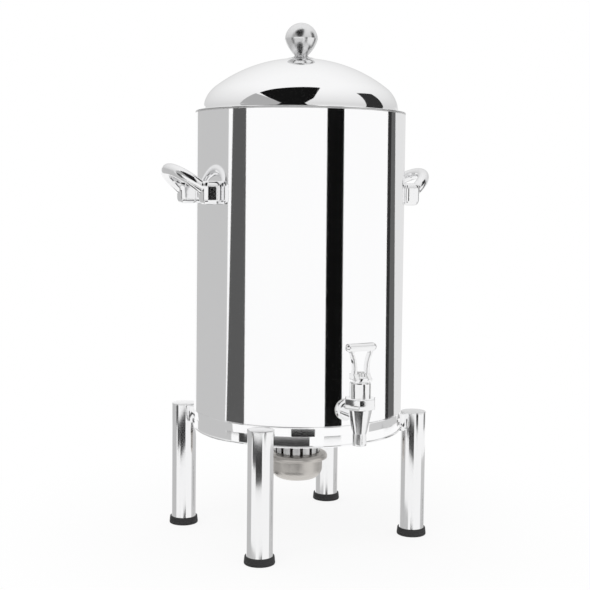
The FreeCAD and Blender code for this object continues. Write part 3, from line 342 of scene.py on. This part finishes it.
def modify(piece, kind, **settings):
    """Adds a modifier and applies it."""
    only(piece)
    made = piece.modifiers.new(kind.lower(), kind)
    for name, value in settings.items():
        setattr(made, name, value)
    bpy.ops.object.modifier_apply(modifier=made.name)


def settle(piece, name, body, slot, nodes, smooth=32, mirrored=True):
    """Places the finished mesh, shades it and ties it to the frame.

    A piece that isn't mirrored leaves the jacket's reflections clear.
    """
    only(piece)
    bpy.ops.object.transform_apply(location=True, rotation=True, scale=True)
    bpy.ops.object.shade_smooth_by_angle(angle=math.radians(smooth))
    piece.name = piece.data.name = name
    piece.data.materials.clear()
    piece.data.materials.append(finish_for(slot))
    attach(piece, body)
    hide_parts(*nodes)
    piece.visible_glossy = mirrored
    return piece


def arc(x, z, radius, start, end, steps=None):
    """Points along an arc of a section, angles in degrees from the +X side."""
    steps = steps or bpy.context.scene.urn_sizes.arc_steps
    turn = [math.radians(start + (end - start) * step / steps) for step in range(steps + 1)]
    return [(x + radius * math.cos(a), z + radius * math.sin(a)) for a in turn]


def first_ring(piece, count):
    """Selects the ring that a turned piece started from, in edit mode."""
    bpy.ops.mesh.select_all(action="DESELECT")
    bpy.ops.object.mode_set(mode="OBJECT")
    for vertex in piece.data.vertices[:count]:
        vertex.select = True
    bpy.ops.object.mode_set(mode="EDIT")
    bpy.ops.mesh.select_mode(type="VERT")


def turned(section, centre=(0, 0), segments=None, closed=False):
    """Turns a half section of (radius, height) by extruding and scaling one ring.

    A section that starts or ends at radius 0 closes to a point there.
    """
    count = segments or bpy.context.scene.urn_sizes.small_segments
    section = list(section)
    start = section.pop(0) if section[0][0] == 0 else None
    radius, height = section[0]
    fresh()
    bpy.ops.mesh.primitive_circle_add(vertices=count, radius=radius,
                                      location=(centre[0], centre[1], height))
    piece = bpy.context.object
    bpy.ops.object.mode_set(mode="EDIT")
    bpy.ops.mesh.select_all(action="SELECT")
    steps = section[1:] + (section[:1] if closed else [])
    for wide, tall in steps:
        bpy.ops.mesh.extrude_region_move(
            TRANSFORM_OT_translate={"value": (0, 0, tall - height)})
        if wide == 0:
            bpy.ops.mesh.merge(type="CENTER")
            break
        if wide != radius:
            bpy.ops.transform.resize(value=(wide / radius, wide / radius, 1))
        radius, height = wide, tall
    if start is not None:
        first_ring(piece, count)
        bpy.ops.mesh.extrude_region_move(
            TRANSFORM_OT_translate={"value": (0, 0, start[1] - section[0][1])})
        bpy.ops.mesh.merge(type="CENTER")
    bpy.ops.mesh.select_all(action="SELECT")
    bpy.ops.mesh.remove_doubles(threshold=1e-6)
    bpy.ops.mesh.normals_make_consistent(inside=False)
    bpy.ops.object.mode_set(mode="OBJECT")
    return piece


def laid(piece, turn, place):
    """Turns a piece about the origin and moves it, in its mesh."""
    only(piece)
    bpy.ops.object.transform_apply(location=True, rotation=True, scale=True)
    piece.matrix_world = Matrix.Translation(place) @ turn.to_matrix().to_4x4()
    bpy.ops.object.transform_apply(location=True, rotation=True, scale=True)
    return piece


def together(pieces):
    """One object from several."""
    fresh()
    for piece in pieces:
        piece.select_set(True)
    bpy.context.view_layer.objects.active = pieces[0]
    bpy.ops.object.join()
    return pieces[0]


def again(piece, shift):
    """A copy of a finished mesh, moved, with a mesh of its own."""
    only(piece)
    bpy.ops.object.duplicate()
    twin = bpy.context.object
    twin.location = Vector(shift)
    return twin


def copied(node):
    """A welded copy of a CAD solid, to be softened and rounded."""
    fresh()
    piece = bpy.data.objects.new(node + "_copy", frame["nodes"][node].data.copy())
    bpy.context.scene.collection.objects.link(piece)
    only(piece)
    bpy.ops.object.mode_set(mode="EDIT")
    bpy.ops.mesh.select_all(action="SELECT")
    bpy.ops.mesh.remove_doubles(threshold=1e-6)
    bpy.ops.object.mode_set(mode="OBJECT")
    return piece


def softened(node, voxel, passes):
    """A CAD solid with its edges melted to the soft ones of a polished casting."""
    piece = copied(node)
    modify(piece, "REMESH", mode="VOXEL", voxel_size=voxel)
    modify(piece, "SMOOTH", factor=0.5, iterations=passes)
    return piece


def rounded(node, width):
    """A CAD solid with its sharp edges rounded."""
    piece = copied(node)
    modify(piece, "BEVEL", width=width, segments=3, limit_method="ANGLE",
           angle_limit=math.radians(35), use_clamp_overlap=True, harden_normals=False)
    return piece


def toward(azimuth, elevation):
    """A way from the tent's centre, from two angles in degrees."""
    a, e = math.radians(azimuth), math.radians(elevation)
    return Vector((math.cos(a) * math.cos(e), math.sin(a) * math.cos(e), math.sin(e)))


def tent_panel(name, corners, value, layer=0, lowest=None, highest=None):
    """A panel of the reflecting tent, cut from a sphere along its sides.

    Its corners are (azimuth, elevation) in degrees, anticlockwise as seen from the urn,
    and three points in a row never turn back. It may also end at two elevations. Its
    value is one grey, or (sine of elevation, grey) stops. Only polished surfaces see it.
    """
    radius = bpy.context.scene.urn_studio.tent_radius - 0.01 * layer
    fresh()
    bpy.ops.mesh.primitive_uv_sphere_add(segments=72, ring_count=36, radius=radius,
                                         location=TENT_CENTRE)
    panel = bpy.context.object
    bpy.ops.object.mode_set(mode="EDIT")
    cuts = [(TENT_CENTRE, toward(*here).cross(toward(*there)).normalized())
            for here, there in zip(corners, corners[1:] + corners[:1])]
    for edge, up in ((lowest, 1), (highest, -1)):
        if edge is not None:
            level = Vector((0, 0, radius * math.sin(math.radians(edge))))
            cuts.append((TENT_CENTRE + level, Vector((0, 0, up))))
    for point, side in cuts:
        bpy.ops.mesh.select_all(action="SELECT")
        bpy.ops.mesh.bisect(plane_co=point, plane_no=side, clear_inner=True)
    bpy.ops.object.mode_set(mode="OBJECT")
    if not panel.data.polygons:
        raise RuntimeError(name + " has no face left")
    glow = Finish(name)
    if isinstance(value, tuple):
        here = glow.node("ShaderNodeTexCoord", output="Object")
        tall = glow.node("ShaderNodeSeparateXYZ", {}, {0: here}, 2) * (1 / radius)
        stops = [(at, (grey, grey, grey)) for at, grey in value]
        colour = glow.node("ShaderNodeValToRGB", {"stops": stops}, {0: tall})
    else:
        colour = (value, value, value, 1)
    lamp = glow.node("ShaderNodeEmission", {}, {"Color": colour})
    glow.tree.links.new(lamp.socket, glow.out.inputs[0])
    panel.data.materials.append(glow.material)
    panel.name = name
    panel.visible_camera = panel.visible_diffuse = panel.visible_shadow = False
    panel.visible_transmission = panel.visible_volume_scatter = False
    return panel


def upright(left, right):
    """The corners of a panel between two azimuths."""
    return [(left, -80), (right, -80), (right, 80), (left, 80)]


class URN_OT_studio(bpy.types.Operator):
    """Sets up the floor, the soft light, the reflecting tent and the camera"""

    bl_idname = "urn.studio"
    bl_label = "Studio"

    def execute(self, context):
        studio = context.scene.urn_studio
        fresh()
        bpy.ops.mesh.primitive_plane_add(size=14)
        floor = context.object
        floor.name = "floor"
        floor.visible_glossy = False
        pale = Finish("floor_white", Roughness=1.0, Base_Color=(0.9, 0.9, 0.9, 1))
        seen = pale.node("ShaderNodeLightPath", output="Is Camera Ray")
        glow = pale.node("ShaderNodeEmission", {}, {"Color": (1, 1, 1, 1)})
        here = pale.node("ShaderNodeTexCoord", output="Object")
        away = pale.node("ShaderNodeVectorMath", {"operation": "LENGTH"}, {0: here}, 1)
        share = pale.node("ShaderNodeMapRange", {"interpolation_type": "SMOOTHSTEP"},
                          {"Value": away, "From Min": 0.1, "From Max": 0.5,
                           "To Min": 0.86, "To Max": 1.0})
        mixed = pale.node("ShaderNodeMixShader", {}, {0: seen * share})
        pale.tree.links.new(pale.shader.outputs[0], mixed.socket.node.inputs[1])
        pale.tree.links.new(glow.socket, mixed.socket.node.inputs[2])
        pale.tree.links.new(mixed.socket, pale.out.inputs[0])
        floor.data.materials.append(pale.material)

        world = bpy.data.worlds.new("studio_world")
        context.scene.world = world
        world.use_nodes = True
        tree = world.node_tree
        tree.nodes.clear()
        path = tree.nodes.new("ShaderNodeLightPath")
        shown = tree.nodes.new("ShaderNodeMath")
        shown.operation = "MAXIMUM"
        tree.links.new(path.outputs["Is Camera Ray"], shown.inputs[0])
        tree.links.new(path.outputs["Is Glossy Ray"], shown.inputs[1])
        through = tree.nodes.new("ShaderNodeMath")
        through.operation = "MAXIMUM"
        tree.links.new(shown.outputs[0], through.inputs[0])
        tree.links.new(path.outputs["Is Transmission Ray"], through.inputs[1])
        strength = tree.nodes.new("ShaderNodeMix")
        strength.inputs[2].default_value = studio.surround
        strength.inputs[3].default_value = 1.0
        tree.links.new(through.outputs[0], strength.inputs[0])
        sky = tree.nodes.new("ShaderNodeBackground")
        sky.inputs["Color"].default_value = (1, 1, 1, 1)
        tree.links.new(strength.outputs[0], sky.inputs["Strength"])
        out = tree.nodes.new("ShaderNodeOutputWorld")
        tree.links.new(sky.outputs[0], out.inputs[0])

        fresh()
        bpy.ops.object.light_add(type="AREA", location=(-1.4, -1.2, 2.2))
        key = context.object
        key.name = "key_lamp"
        key.data.energy = studio.key_power
        key.data.size = 1.6
        key.rotation_euler = (Vector((0, 0, 0.3)) - key.location).to_track_quat(
            "-Z", "Y").to_euler()
        key.visible_glossy = False
        key.visible_camera = False

        context.scene.view_settings.view_transform = "Standard"
        self.hang_tent()
        self.set_camera(context)
        return {"FINISHED"}

    def hang_tent(self):
        """Grey and black panels: walls, boxes over the dome, and low ones for legs and tap."""
        foot = -24.6
        walls = [("grey_wall_%d" % step, [(left, -70), (left + 20, -70), (left + 20, 8),
                                          (left, 8)], 0.55, 0)
                 for step, left in enumerate((100, 120, 140))]
        walls += [
            ("grey_wall_end", [(160, -70), (164, -40), (171, 4), (172, 8), (160, 8)], 0.55, 0),
            ("dim_wall", [(152, -60), (-170, -60), (-172, 8), (172, 8)], 0.1, 1),
            ("black_bar", [(-84, -60), (-65, -60), (-70, 7), (-88, 7)], 0.004, 1),
            ("dark_edge", [(0, -60), (5, -60), (-4, 8), (-11, 8)], 0.03, 2),
            ("dim_edge", [(0, -60), (35, -60), (4, 8), (-6, 8)], 0.12, 1),
            ("pale_wall_right", [(20, -70), (60, -70), (60, 8), (0, 8)], 0.78, 0)]
        for name, corners, value, layer in walls:
            tent_panel(name, corners, value, layer, foot)
        tent_panel("black_gap", [(-137, 11), (-106, 8), (-100, 30), (-90, 41), (-55, 61),
                                 (-100, 71), (-150, 67), (-166, 56), (-174, 43), (-154, 31)],
                   0.006, 1)
        tent_panel("grey_box", [(173, 13), (-137, 9), (-135, 14), (-155, 31), (-177, 43)],
                   0.41, 2)
        tent_panel("dark_box", [(-36, 9), (-6, 9), (-8, 26), (-9, 36), (-33, 43)], 0.03, 2)
        tent_panel("sky", [], ((0.14, 0.66), (0.42, 0.8), (0.7, 0.9), (0.9, 0.96)), lowest=8)
        for name, left, right, value, lowest, highest in (
                ("leg_stripe", -150, -102, 0.03, -28.4, foot),
                ("leg_patch", -178, -150, 0.05, -27, foot),
                ("leg_left", 105, 172, 0.55, -40, foot),
                ("leg_right", -30, 60, 0.6, -42, -27),
                ("band_left", 170, 215, 0.55, -40, -34.2),
                ("band_black", -121, -96, 0.01, -38.5, -34.6),
                ("band_right", -31, -11, 0.62, -40, -31),
                ("band_dark", -10, 8, 0.04, -40, -30.5),
                ("spout_black", -172, -84, 0.01, -52, -38.8),
                ("spout_edge", 110, 158, 0.03, -52, -41)):
            tent_panel(name, upright(left, right), value, 2, lowest, highest)

    def set_camera(self, context):
        """The photograph's own angle and distance."""
        yaw, pitch, roll = (math.radians(v) for v in (-0.194, -3.769, -0.639))
        ahead = Vector((math.sin(yaw) * math.cos(pitch), math.cos(yaw) * math.cos(pitch),
                        math.sin(pitch)))
        right = Vector((math.cos(yaw), -math.sin(yaw), 0))
        down = ahead.cross(right)
        across = right * math.cos(roll) + down * math.sin(roll)
        below = down * math.cos(roll) - right * math.sin(roll)
        turn = Matrix((across, -below, -ahead)).transposed().to_4x4()
        photo = Matrix.Rotation(math.radians(-25), 4, "Z")
        fresh()
        bpy.ops.object.camera_add()
        camera = context.object
        camera.matrix_world = photo @ Matrix.Translation((0, -1.485, 0.4489)) @ turn
        camera.data.lens = 69.85
        camera.data.sensor_width = 36
        camera.data.shift_y = -0.0559
        context.scene.camera = camera


class URN_OT_carried_nodes(bpy.types.Operator):
    """Gives every CAD solid that stays in view its own finish"""

    bl_idname = "urn.carried_nodes"
    bl_label = "CAD Finishes"

    def execute(self, context):
        for row in frame["record"]["subparts"]:
            node = frame["nodes"][row["node"]]
            node.data.materials.clear()
            node.data.materials.append(finish_for(row["material_slot"]))
            if high(row["node"]).y < -BODY_RADIUS + 0.004:
                node.visible_glossy = False
        return {"FINISHED"}


class URN_OT_jacket(bpy.types.Operator):
    """Turns the mirror polished jacket with its skirt"""

    bl_idname = "urn.jacket"
    bl_label = "Jacket"

    def execute(self, context):
        sizes = context.scene.urn_sizes
        outer, skirt = BODY_RADIUS, BODY_RADIUS - 0.0014
        inner = outer - sizes.wall
        foot = low("outer_jacket").z
        section = [(outer - 0.0006, BAND_TOP), (outer, BAND_TOP + 0.0006),
                   (outer, BAND_TOP + 0.002), (outer, JACKET_TOP - 0.0003),
                   (outer - 0.0003, JACKET_TOP), (inner, JACKET_TOP),
                   (inner, BAND_TOP + 0.002), (skirt - sizes.wall, BAND_TOP),
                   (skirt - sizes.wall, foot), (skirt, foot), (skirt, BAND_TOP)]
        piece = turned(section, segments=sizes.body_segments, closed=True)
        settle(piece, "jacket", "root", "mirror_steel", ["outer_jacket"])
        return {"FINISHED"}


class URN_OT_band(bpy.types.Operator):
    """Turns the base band with its rolled lower lip"""

    bl_idname = "urn.band"
    bl_label = "Base Band"

    def execute(self, context):
        sizes = context.scene.urn_sizes
        outer, wall = BODY_RADIUS, 0.0012
        lip = 0.0015
        tuck = 0.0023
        section = [(outer - wall, BAND_TOP - 0.0002)]
        section += arc(outer - 0.0009, BAND_TOP - 0.0009, 0.0009, 90, 4, 6)
        head, tail = BAND_TOP - 0.0009, BAND_LOW + 2.9 * lip
        section += [(outer - tuck * share, head + (tail - head) * share)
                    for share in (0.02, 0.05, 0.5, 0.95, 0.98, 1)]
        section += [
                    (outer - tuck - 0.0005, BAND_LOW + 2.3 * lip)]
        section += arc(outer - lip, BAND_LOW + lip, lip, 62, -90)
        section += [(outer - 0.013, BAND_LOW), (outer - 0.013, BAND_LOW + wall),
                    (outer - wall, BAND_LOW + wall)]
        piece = turned(section, segments=sizes.body_segments, closed=True)
        settle(piece, "band", "root", "mirror_steel", ["base_band"], 40)
        return {"FINISHED"}


class URN_OT_lid(bpy.types.Operator):
    """Turns the domed lid and its flat rim"""

    bl_idname = "urn.lid"
    bl_label = "Lid Dome"

    def execute(self, context):
        sizes = context.scene.urn_sizes
        wall = sizes.wall
        foot = DOME_LOW + wall
        radius = BODY_RADIUS - 0.0096
        haunch, height = 0.03926, DOME_TOP - foot
        crown = ((radius - haunch) ** 2 + height ** 2 - haunch ** 2) / (2 * (height - haunch))
        centre = DOME_TOP - crown
        lean = math.degrees(math.atan2(foot - centre, radius - haunch))
        hole = 0.0028
        top = math.degrees(math.acos(hole / crown))
        section = arc(0, centre, crown, top, lean, 40)
        section += arc(radius - haunch, foot, haunch, lean, 5, 30)[1:]
        section += arc(radius + 0.0012, foot + 0.0012, 0.0012, 185, 270, 6)
        section += arc(BODY_RADIUS - wall / 2, foot - wall / 2, wall / 2, 90, -90, 8)
        section += [(radius - wall, DOME_LOW)]
        section += arc(radius - haunch, foot, haunch - wall, 0, lean, 20)
        section += arc(0, centre, crown - wall, lean, top, 24)[1:]
        piece = turned(section, segments=sizes.body_segments, closed=True)
        settle(piece, "dome", "lid", "mirror_steel", ["lid_dome"])
        return {"FINISHED"}


class URN_OT_knob(bpy.types.Operator):
    """Turns the lid's pear shaped knob and its flared flange"""

    bl_idname = "urn.knob"
    bl_label = "Knob"

    def execute(self, context):
        swell = KNOB_TOP - KNOB_RADIUS
        neck = 0.0085
        bend = 2.1 * KNOB_RADIUS
        chord = Vector((KNOB_RADIUS - neck, swell - KNOB_LOW))
        across = Vector((-chord.y, chord.x)).normalized()
        hub = (Vector((neck, KNOB_LOW)) + chord / 2
               + across * math.sqrt(bend ** 2 - (chord.length / 2) ** 2))
        start = math.degrees(math.atan2(KNOB_LOW - hub.y, neck - hub.x))
        end = math.degrees(math.atan2(swell - hub.y, KNOB_RADIUS - hub.x))
        section = [(0, KNOB_LOW)] + arc(hub.x, hub.y, bend, start, end, 24)
        section += arc(0, swell, KNOB_RADIUS, 0, 89, 32)[1:]
        section += [(0, KNOB_TOP)]
        piece = settle(turned(section), "knob", "lid", "cast_chrome", ["lid_knob"], 60)
        tone = context.scene.urn_finishes
        piece.data.materials[0] = polished("urn_knob_chrome", shade(tone.cast, 0.88),
                                           tone.knob_roughness, 0.02, 0.02)
        foot = low("knob_flange").z
        flare = high("knob_flange").x
        rim = foot + 0.0008
        section = [(0, foot + 0.0002), (flare - 0.0004, foot), (flare, foot + 0.0003)]
        section += [(flare, rim - 0.0003), (flare - 0.0004, rim)]
        section += arc(flare, rim + 0.0135, 0.0135, -94, -141, 14)[1:]
        section += [(neck + 0.0003, KNOB_LOW), (0, KNOB_LOW)]
        settle(turned(section), "flange", "lid", "cast_chrome", ["knob_flange"], 50)
        return {"FINISHED"}


class URN_OT_legs(bpy.types.Operator):
    """Turns a leg tube, its cap and its rubber foot, and copies them to the other corners"""

    bl_idname = "urn.legs"
    bl_label = "Legs"

    def execute(self, context):
        home = middle("leg_front_left")
        base, top = low("leg_front_left").z, high("leg_front_left").z
        cap_top = high("leg_cap_front_left").z
        wide = LEG_RADIUS
        inner = wide - 0.0012
        tube = turned([(inner, base), (wide, base), (wide, top - 0.0003),
                       (wide - 0.0003, top), (inner, top)], home, closed=True)
        lid = wide + 0.0002
        rise = cap_top - top
        dome = rise - 0.0015
        ball = (lid ** 2 + dome ** 2) / (2 * dome)
        edge = math.degrees(math.acos((lid - 0.0005) / ball))
        plug = top - 0.0024
        cap = turned([(0, plug), (inner, plug), (inner, top), (lid, top), (lid, top + 0.001)]
                     + arc(lid - 0.0005, top + 0.001, 0.0005, 0, 80, 5)[1:]
                     + arc(0, cap_top - ball, ball, edge, 89.6, 12)[1:]
                     + [(0, cap_top)], home)
        sole = high("foot_front_left").x - home.x
        foot_top = high("foot_front_left").z
        foot = turned([(0, 0), (sole - 0.0014, 0)]
                      + arc(sole - 0.0012, 0.0012, 0.0012, -80, 0, 5)
                      + [(sole, 0.0026), (sole - 0.0005, 0.0031), (sole - 0.0006, 0.0036),
                         (sole - 0.0002, 0.0041), (wide + 0.0022, foot_top - 0.0008)]
                      + arc(wide + 0.0014, foot_top - 0.0008, 0.0008, 20, 90, 4)
                      + [(wide, foot_top), (wide, base), (0, base)], home)
        kinds = (("leg_", "tube_chrome", tube, 40), ("leg_cap_", "cap_steel", cap, 40),
                 ("foot_", "foot_rubber", foot, 35))
        for prefix, slot, first, smooth in kinds:
            for corner in LEGS:
                shift = middle("leg_" + corner) - home
                shift.z = 0
                piece = again(first, Vector(first.location) + shift)
                settle(piece, prefix + "piece_" + corner, "root", slot, [prefix + corner],
                       smooth, mirrored=False)
            bpy.data.objects.remove(first)
        return {"FINISHED"}


class URN_OT_saddles(bpy.types.Operator):
    """Rounds the blocks that seat the legs on the band"""

    bl_idname = "urn.saddles"
    bl_label = "Leg Saddles"

    def execute(self, context):
        for corner in LEGS:
            node = "leg_saddle_" + corner
            piece = rounded(node, context.scene.urn_sizes.edge_round)
            settle(piece, "saddle_" + corner, "root", "tube_chrome", [node], 30, False)
        return {"FINISHED"}


class URN_OT_handles(bpy.types.Operator):
    """Casts the two side handles: a raised half ring on two square feet"""

    bl_idname = "urn.handles"
    bl_label = "Handles"

    def execute(self, context):
        grain = context.scene.urn_sizes.handle_voxel
        box_low, box_high = low("handle_right"), high("handle_right")
        thick, ring_rise, ring_stand = 0.0076, 0.0175, 0.0101
        foot_wide, foot_tall, foot_stand, buried = 0.022, 0.029, 0.016, 0.007
        span = box_high.y - foot_wide / 2
        climb = box_high.z - box_low.z - ring_rise - thick
        tilt = Matrix.Rotation(-math.asin(climb / span), 3, "Y").to_quaternion()
        fresh()
        bpy.ops.mesh.primitive_torus_add(
            major_segments=96, minor_segments=32, major_radius=span, minor_radius=thick)
        ring = context.object
        bpy.ops.object.mode_set(mode="EDIT")
        bpy.ops.mesh.select_all(action="SELECT")
        bpy.ops.mesh.bisect(plane_co=(-0.001, 0, 0), plane_no=(1, 0, 0), clear_inner=True,
                            use_fill=True)
        bpy.ops.object.mode_set(mode="OBJECT")
        laid(ring, tilt, (BODY_RADIUS + ring_stand, 0, box_low.z + ring_rise))
        feet = []
        for way in (-1, 1):
            fresh()
            bpy.ops.mesh.primitive_cube_add(size=1, location=(
                BODY_RADIUS + (foot_stand - buried) / 2, way * span,
                box_low.z + foot_tall / 2))
            foot = context.object
            foot.scale = (foot_stand + buried, foot_wide, foot_tall)
            modify(foot, "BEVEL", width=0.26, segments=6, limit_method="ANGLE")
            feet.append(foot)
        bow = together([ring] + feet)
        modify(bow, "REMESH", mode="VOXEL", voxel_size=grain)
        modify(bow, "SMOOTH", factor=0.5, iterations=14)
        for side, turn in (("right", 0), ("left", 180)):
            piece = again(bow, (0, 0, 0))
            laid(piece, Matrix.Rotation(math.radians(turn), 3, "Z").to_quaternion(), (0, 0, 0))
            settle(piece, "grip_" + side, "root", "cast_chrome", ["handle_" + side], 180)
        bpy.data.objects.remove(bow)
        return {"FINISHED"}


class URN_OT_tap(bpy.types.Operator):
    """Turns the tap's spout and shank and rounds its hex nut and bonnet"""

    bl_idname = "urn.tap"
    bl_label = "Tap"

    def execute(self, context):
        place = (TAP.x, TAP.y)
        base = low("tap_body").z
        shoulder = low("bonnet_nut").z
        spout = turned([(0.005, base), (0.0069, base)]
                       + arc(0.0074, base + 0.0007, 0.0007, -90, 0, 5)
                       + [(0.0081, base + 0.003), (0.00815, base + 0.0145)]
                       + arc(0.0102, base + 0.0145, 0.00205, 180, 155, 5)[1:]
                       + [(0.0143, shoulder - 0.0022)]
                       + arc(0.01375, shoulder - 0.001, 0.001, -10, 90, 6)
                       + [(0.0122, shoulder), (0.0122, shoulder + 0.009),
                          (0.0095, shoulder + 0.009), (0.0095, base + 0.03),
                          (0.005, base + 0.03)], place, closed=True)
        level = middle("shank_locknut").z
        bore, pipe, collar = 0.005, 0.008, 0.013
        root, end = BODY_RADIUS + 0.0025, -TAP.y - 0.0098
        tip = -high("tap_shank").y
        shank = turned([(bore, tip), (pipe - 0.0002, tip), (pipe, tip + 0.0002), (pipe, root),
                        (collar, root), (collar, root + 0.0024),
                        (collar - 0.0006, root + 0.003), (pipe + 0.0012, root + 0.003),
                        (pipe, root + 0.0042), (pipe, end), (bore, end)], closed=True)
        laid(shank, Matrix.Rotation(math.radians(90), 3, "X").to_quaternion(), (0, 0, level))
        settle(together([spout, shank]), "tap_spout", "root", "cast_chrome",
               ["tap_body", "tap_shank"], 40, False)

        settle(rounded("bonnet_nut", 0.0007), "hex_nut", "root", "cast_chrome", ["bonnet_nut"],
               35, False)
        settle(rounded("bonnet", 0.0004), "bonnet_piece", "root", "cast_chrome", ["bonnet"],
               30, False)
        return {"FINISHED"}


class URN_OT_lever(bpy.types.Operator):
    """Softens the tap's cast lever"""

    bl_idname = "urn.lever"
    bl_label = "Tap Lever"

    def execute(self, context):
        piece = softened("tap_lever", context.scene.urn_sizes.lever_voxel, 10)
        settle(piece, "lever_piece", "lever", "cast_chrome", ["tap_lever"], 180,
               False)
        return {"FINISHED"}


class URN_OT_burner(bpy.types.Operator):
    """Turns the fuel cup and its cover ring"""

    bl_idname = "urn.burner"
    bl_label = "Burner Cup"

    def execute(self, context):
        base = low("fuel_cup").z
        brim = high("fuel_cup").z
        side, bend, wall = 0.0335, 0.014, 0.0008
        section = [(0, base)] + arc(side - bend, base + bend, bend, -90, 0)
        section += [(side, brim - wall - 0.0006)]
        section += arc(side + 0.0006, brim - wall - 0.0006, 0.0006, 180, 90, 4)
        section += [(0.0373, brim - wall), (0.0373, brim), (side - wall, brim)]
        section += arc(side - bend, base + bend, bend - wall, 0, -90)
        section += [(0, base + wall)]
        settle(turned(section), "fuel_cup_piece", "burner", "cup_steel", ["fuel_cup"], 40)

        top = high("cup_cover").z
        hole, rim = 0.02995, 0.04
        section = [(hole, top - 0.001), (hole, top - 0.0003), (hole + 0.0004, top)]
        section += [(rim - 0.0058, top - 0.0009)]
        section += arc(rim - 0.0048, top - 0.0058, 0.0048, 90, 0, 10)
        section += arc(rim - 0.0012, brim - 0.0001, 0.0012, 0, -75, 6)
        section += [(rim - 0.003, brim - 0.0019), (0.0338, brim - 0.0018), (0.0338, brim - wall),
                    (0.0373, brim - wall), (0.0373, brim), (rim - 0.001, brim + 0.0002)]
        section += arc(rim - 0.005, top - 0.006, 0.004, 0, 90, 8)
        settle(turned(section, closed=True), "cover_piece", "burner", "cup_steel",
               ["cup_cover"], 40)
        return {"FINISHED"}


class URN_PT_pieces(bpy.types.Panel):
    """The urn's sizes, finishes and pieces"""

    bl_idname = "URN_PT_pieces"
    bl_label = "Coffee Urn"
    bl_space_type = "VIEW_3D"
    bl_region_type = "UI"
    bl_category = "Urn"

    def draw(self, context):
        for group in (context.scene.urn_sizes, context.scene.urn_finishes,
                      context.scene.urn_studio):
            column = self.layout.column()
            for name in group.__annotations__:
                column.prop(group, name)
        for step in STEPS:
            self.layout.operator(step.bl_idname)


STEPS = (URN_OT_studio, URN_OT_carried_nodes, URN_OT_jacket, URN_OT_band, URN_OT_lid,
         URN_OT_knob, URN_OT_legs, URN_OT_saddles, URN_OT_handles, URN_OT_tap,
         URN_OT_lever, URN_OT_burner)
GROUPS = {"urn_sizes": UrnSizes, "urn_finishes": UrnFinishes, "urn_studio": UrnStudio}


def register():
    for kind in (*GROUPS.values(), *STEPS, URN_PT_pieces):
        bpy.utils.register_class(kind)
    for name, kind in GROUPS.items():
        setattr(bpy.types.Scene, name, bpy.props.PointerProperty(type=kind))


def unregister():
    for name in GROUPS:
        delattr(bpy.types.Scene, name)
    for kind in (URN_PT_pieces, *reversed(STEPS), *GROUPS.values()):
        bpy.utils.unregister_class(kind)


def main():
    register()
    for step in STEPS:
        group, name = step.bl_idname.split(".")
        getattr(getattr(bpy.ops, group), name)()


if __name__ == "__main__":
    main()
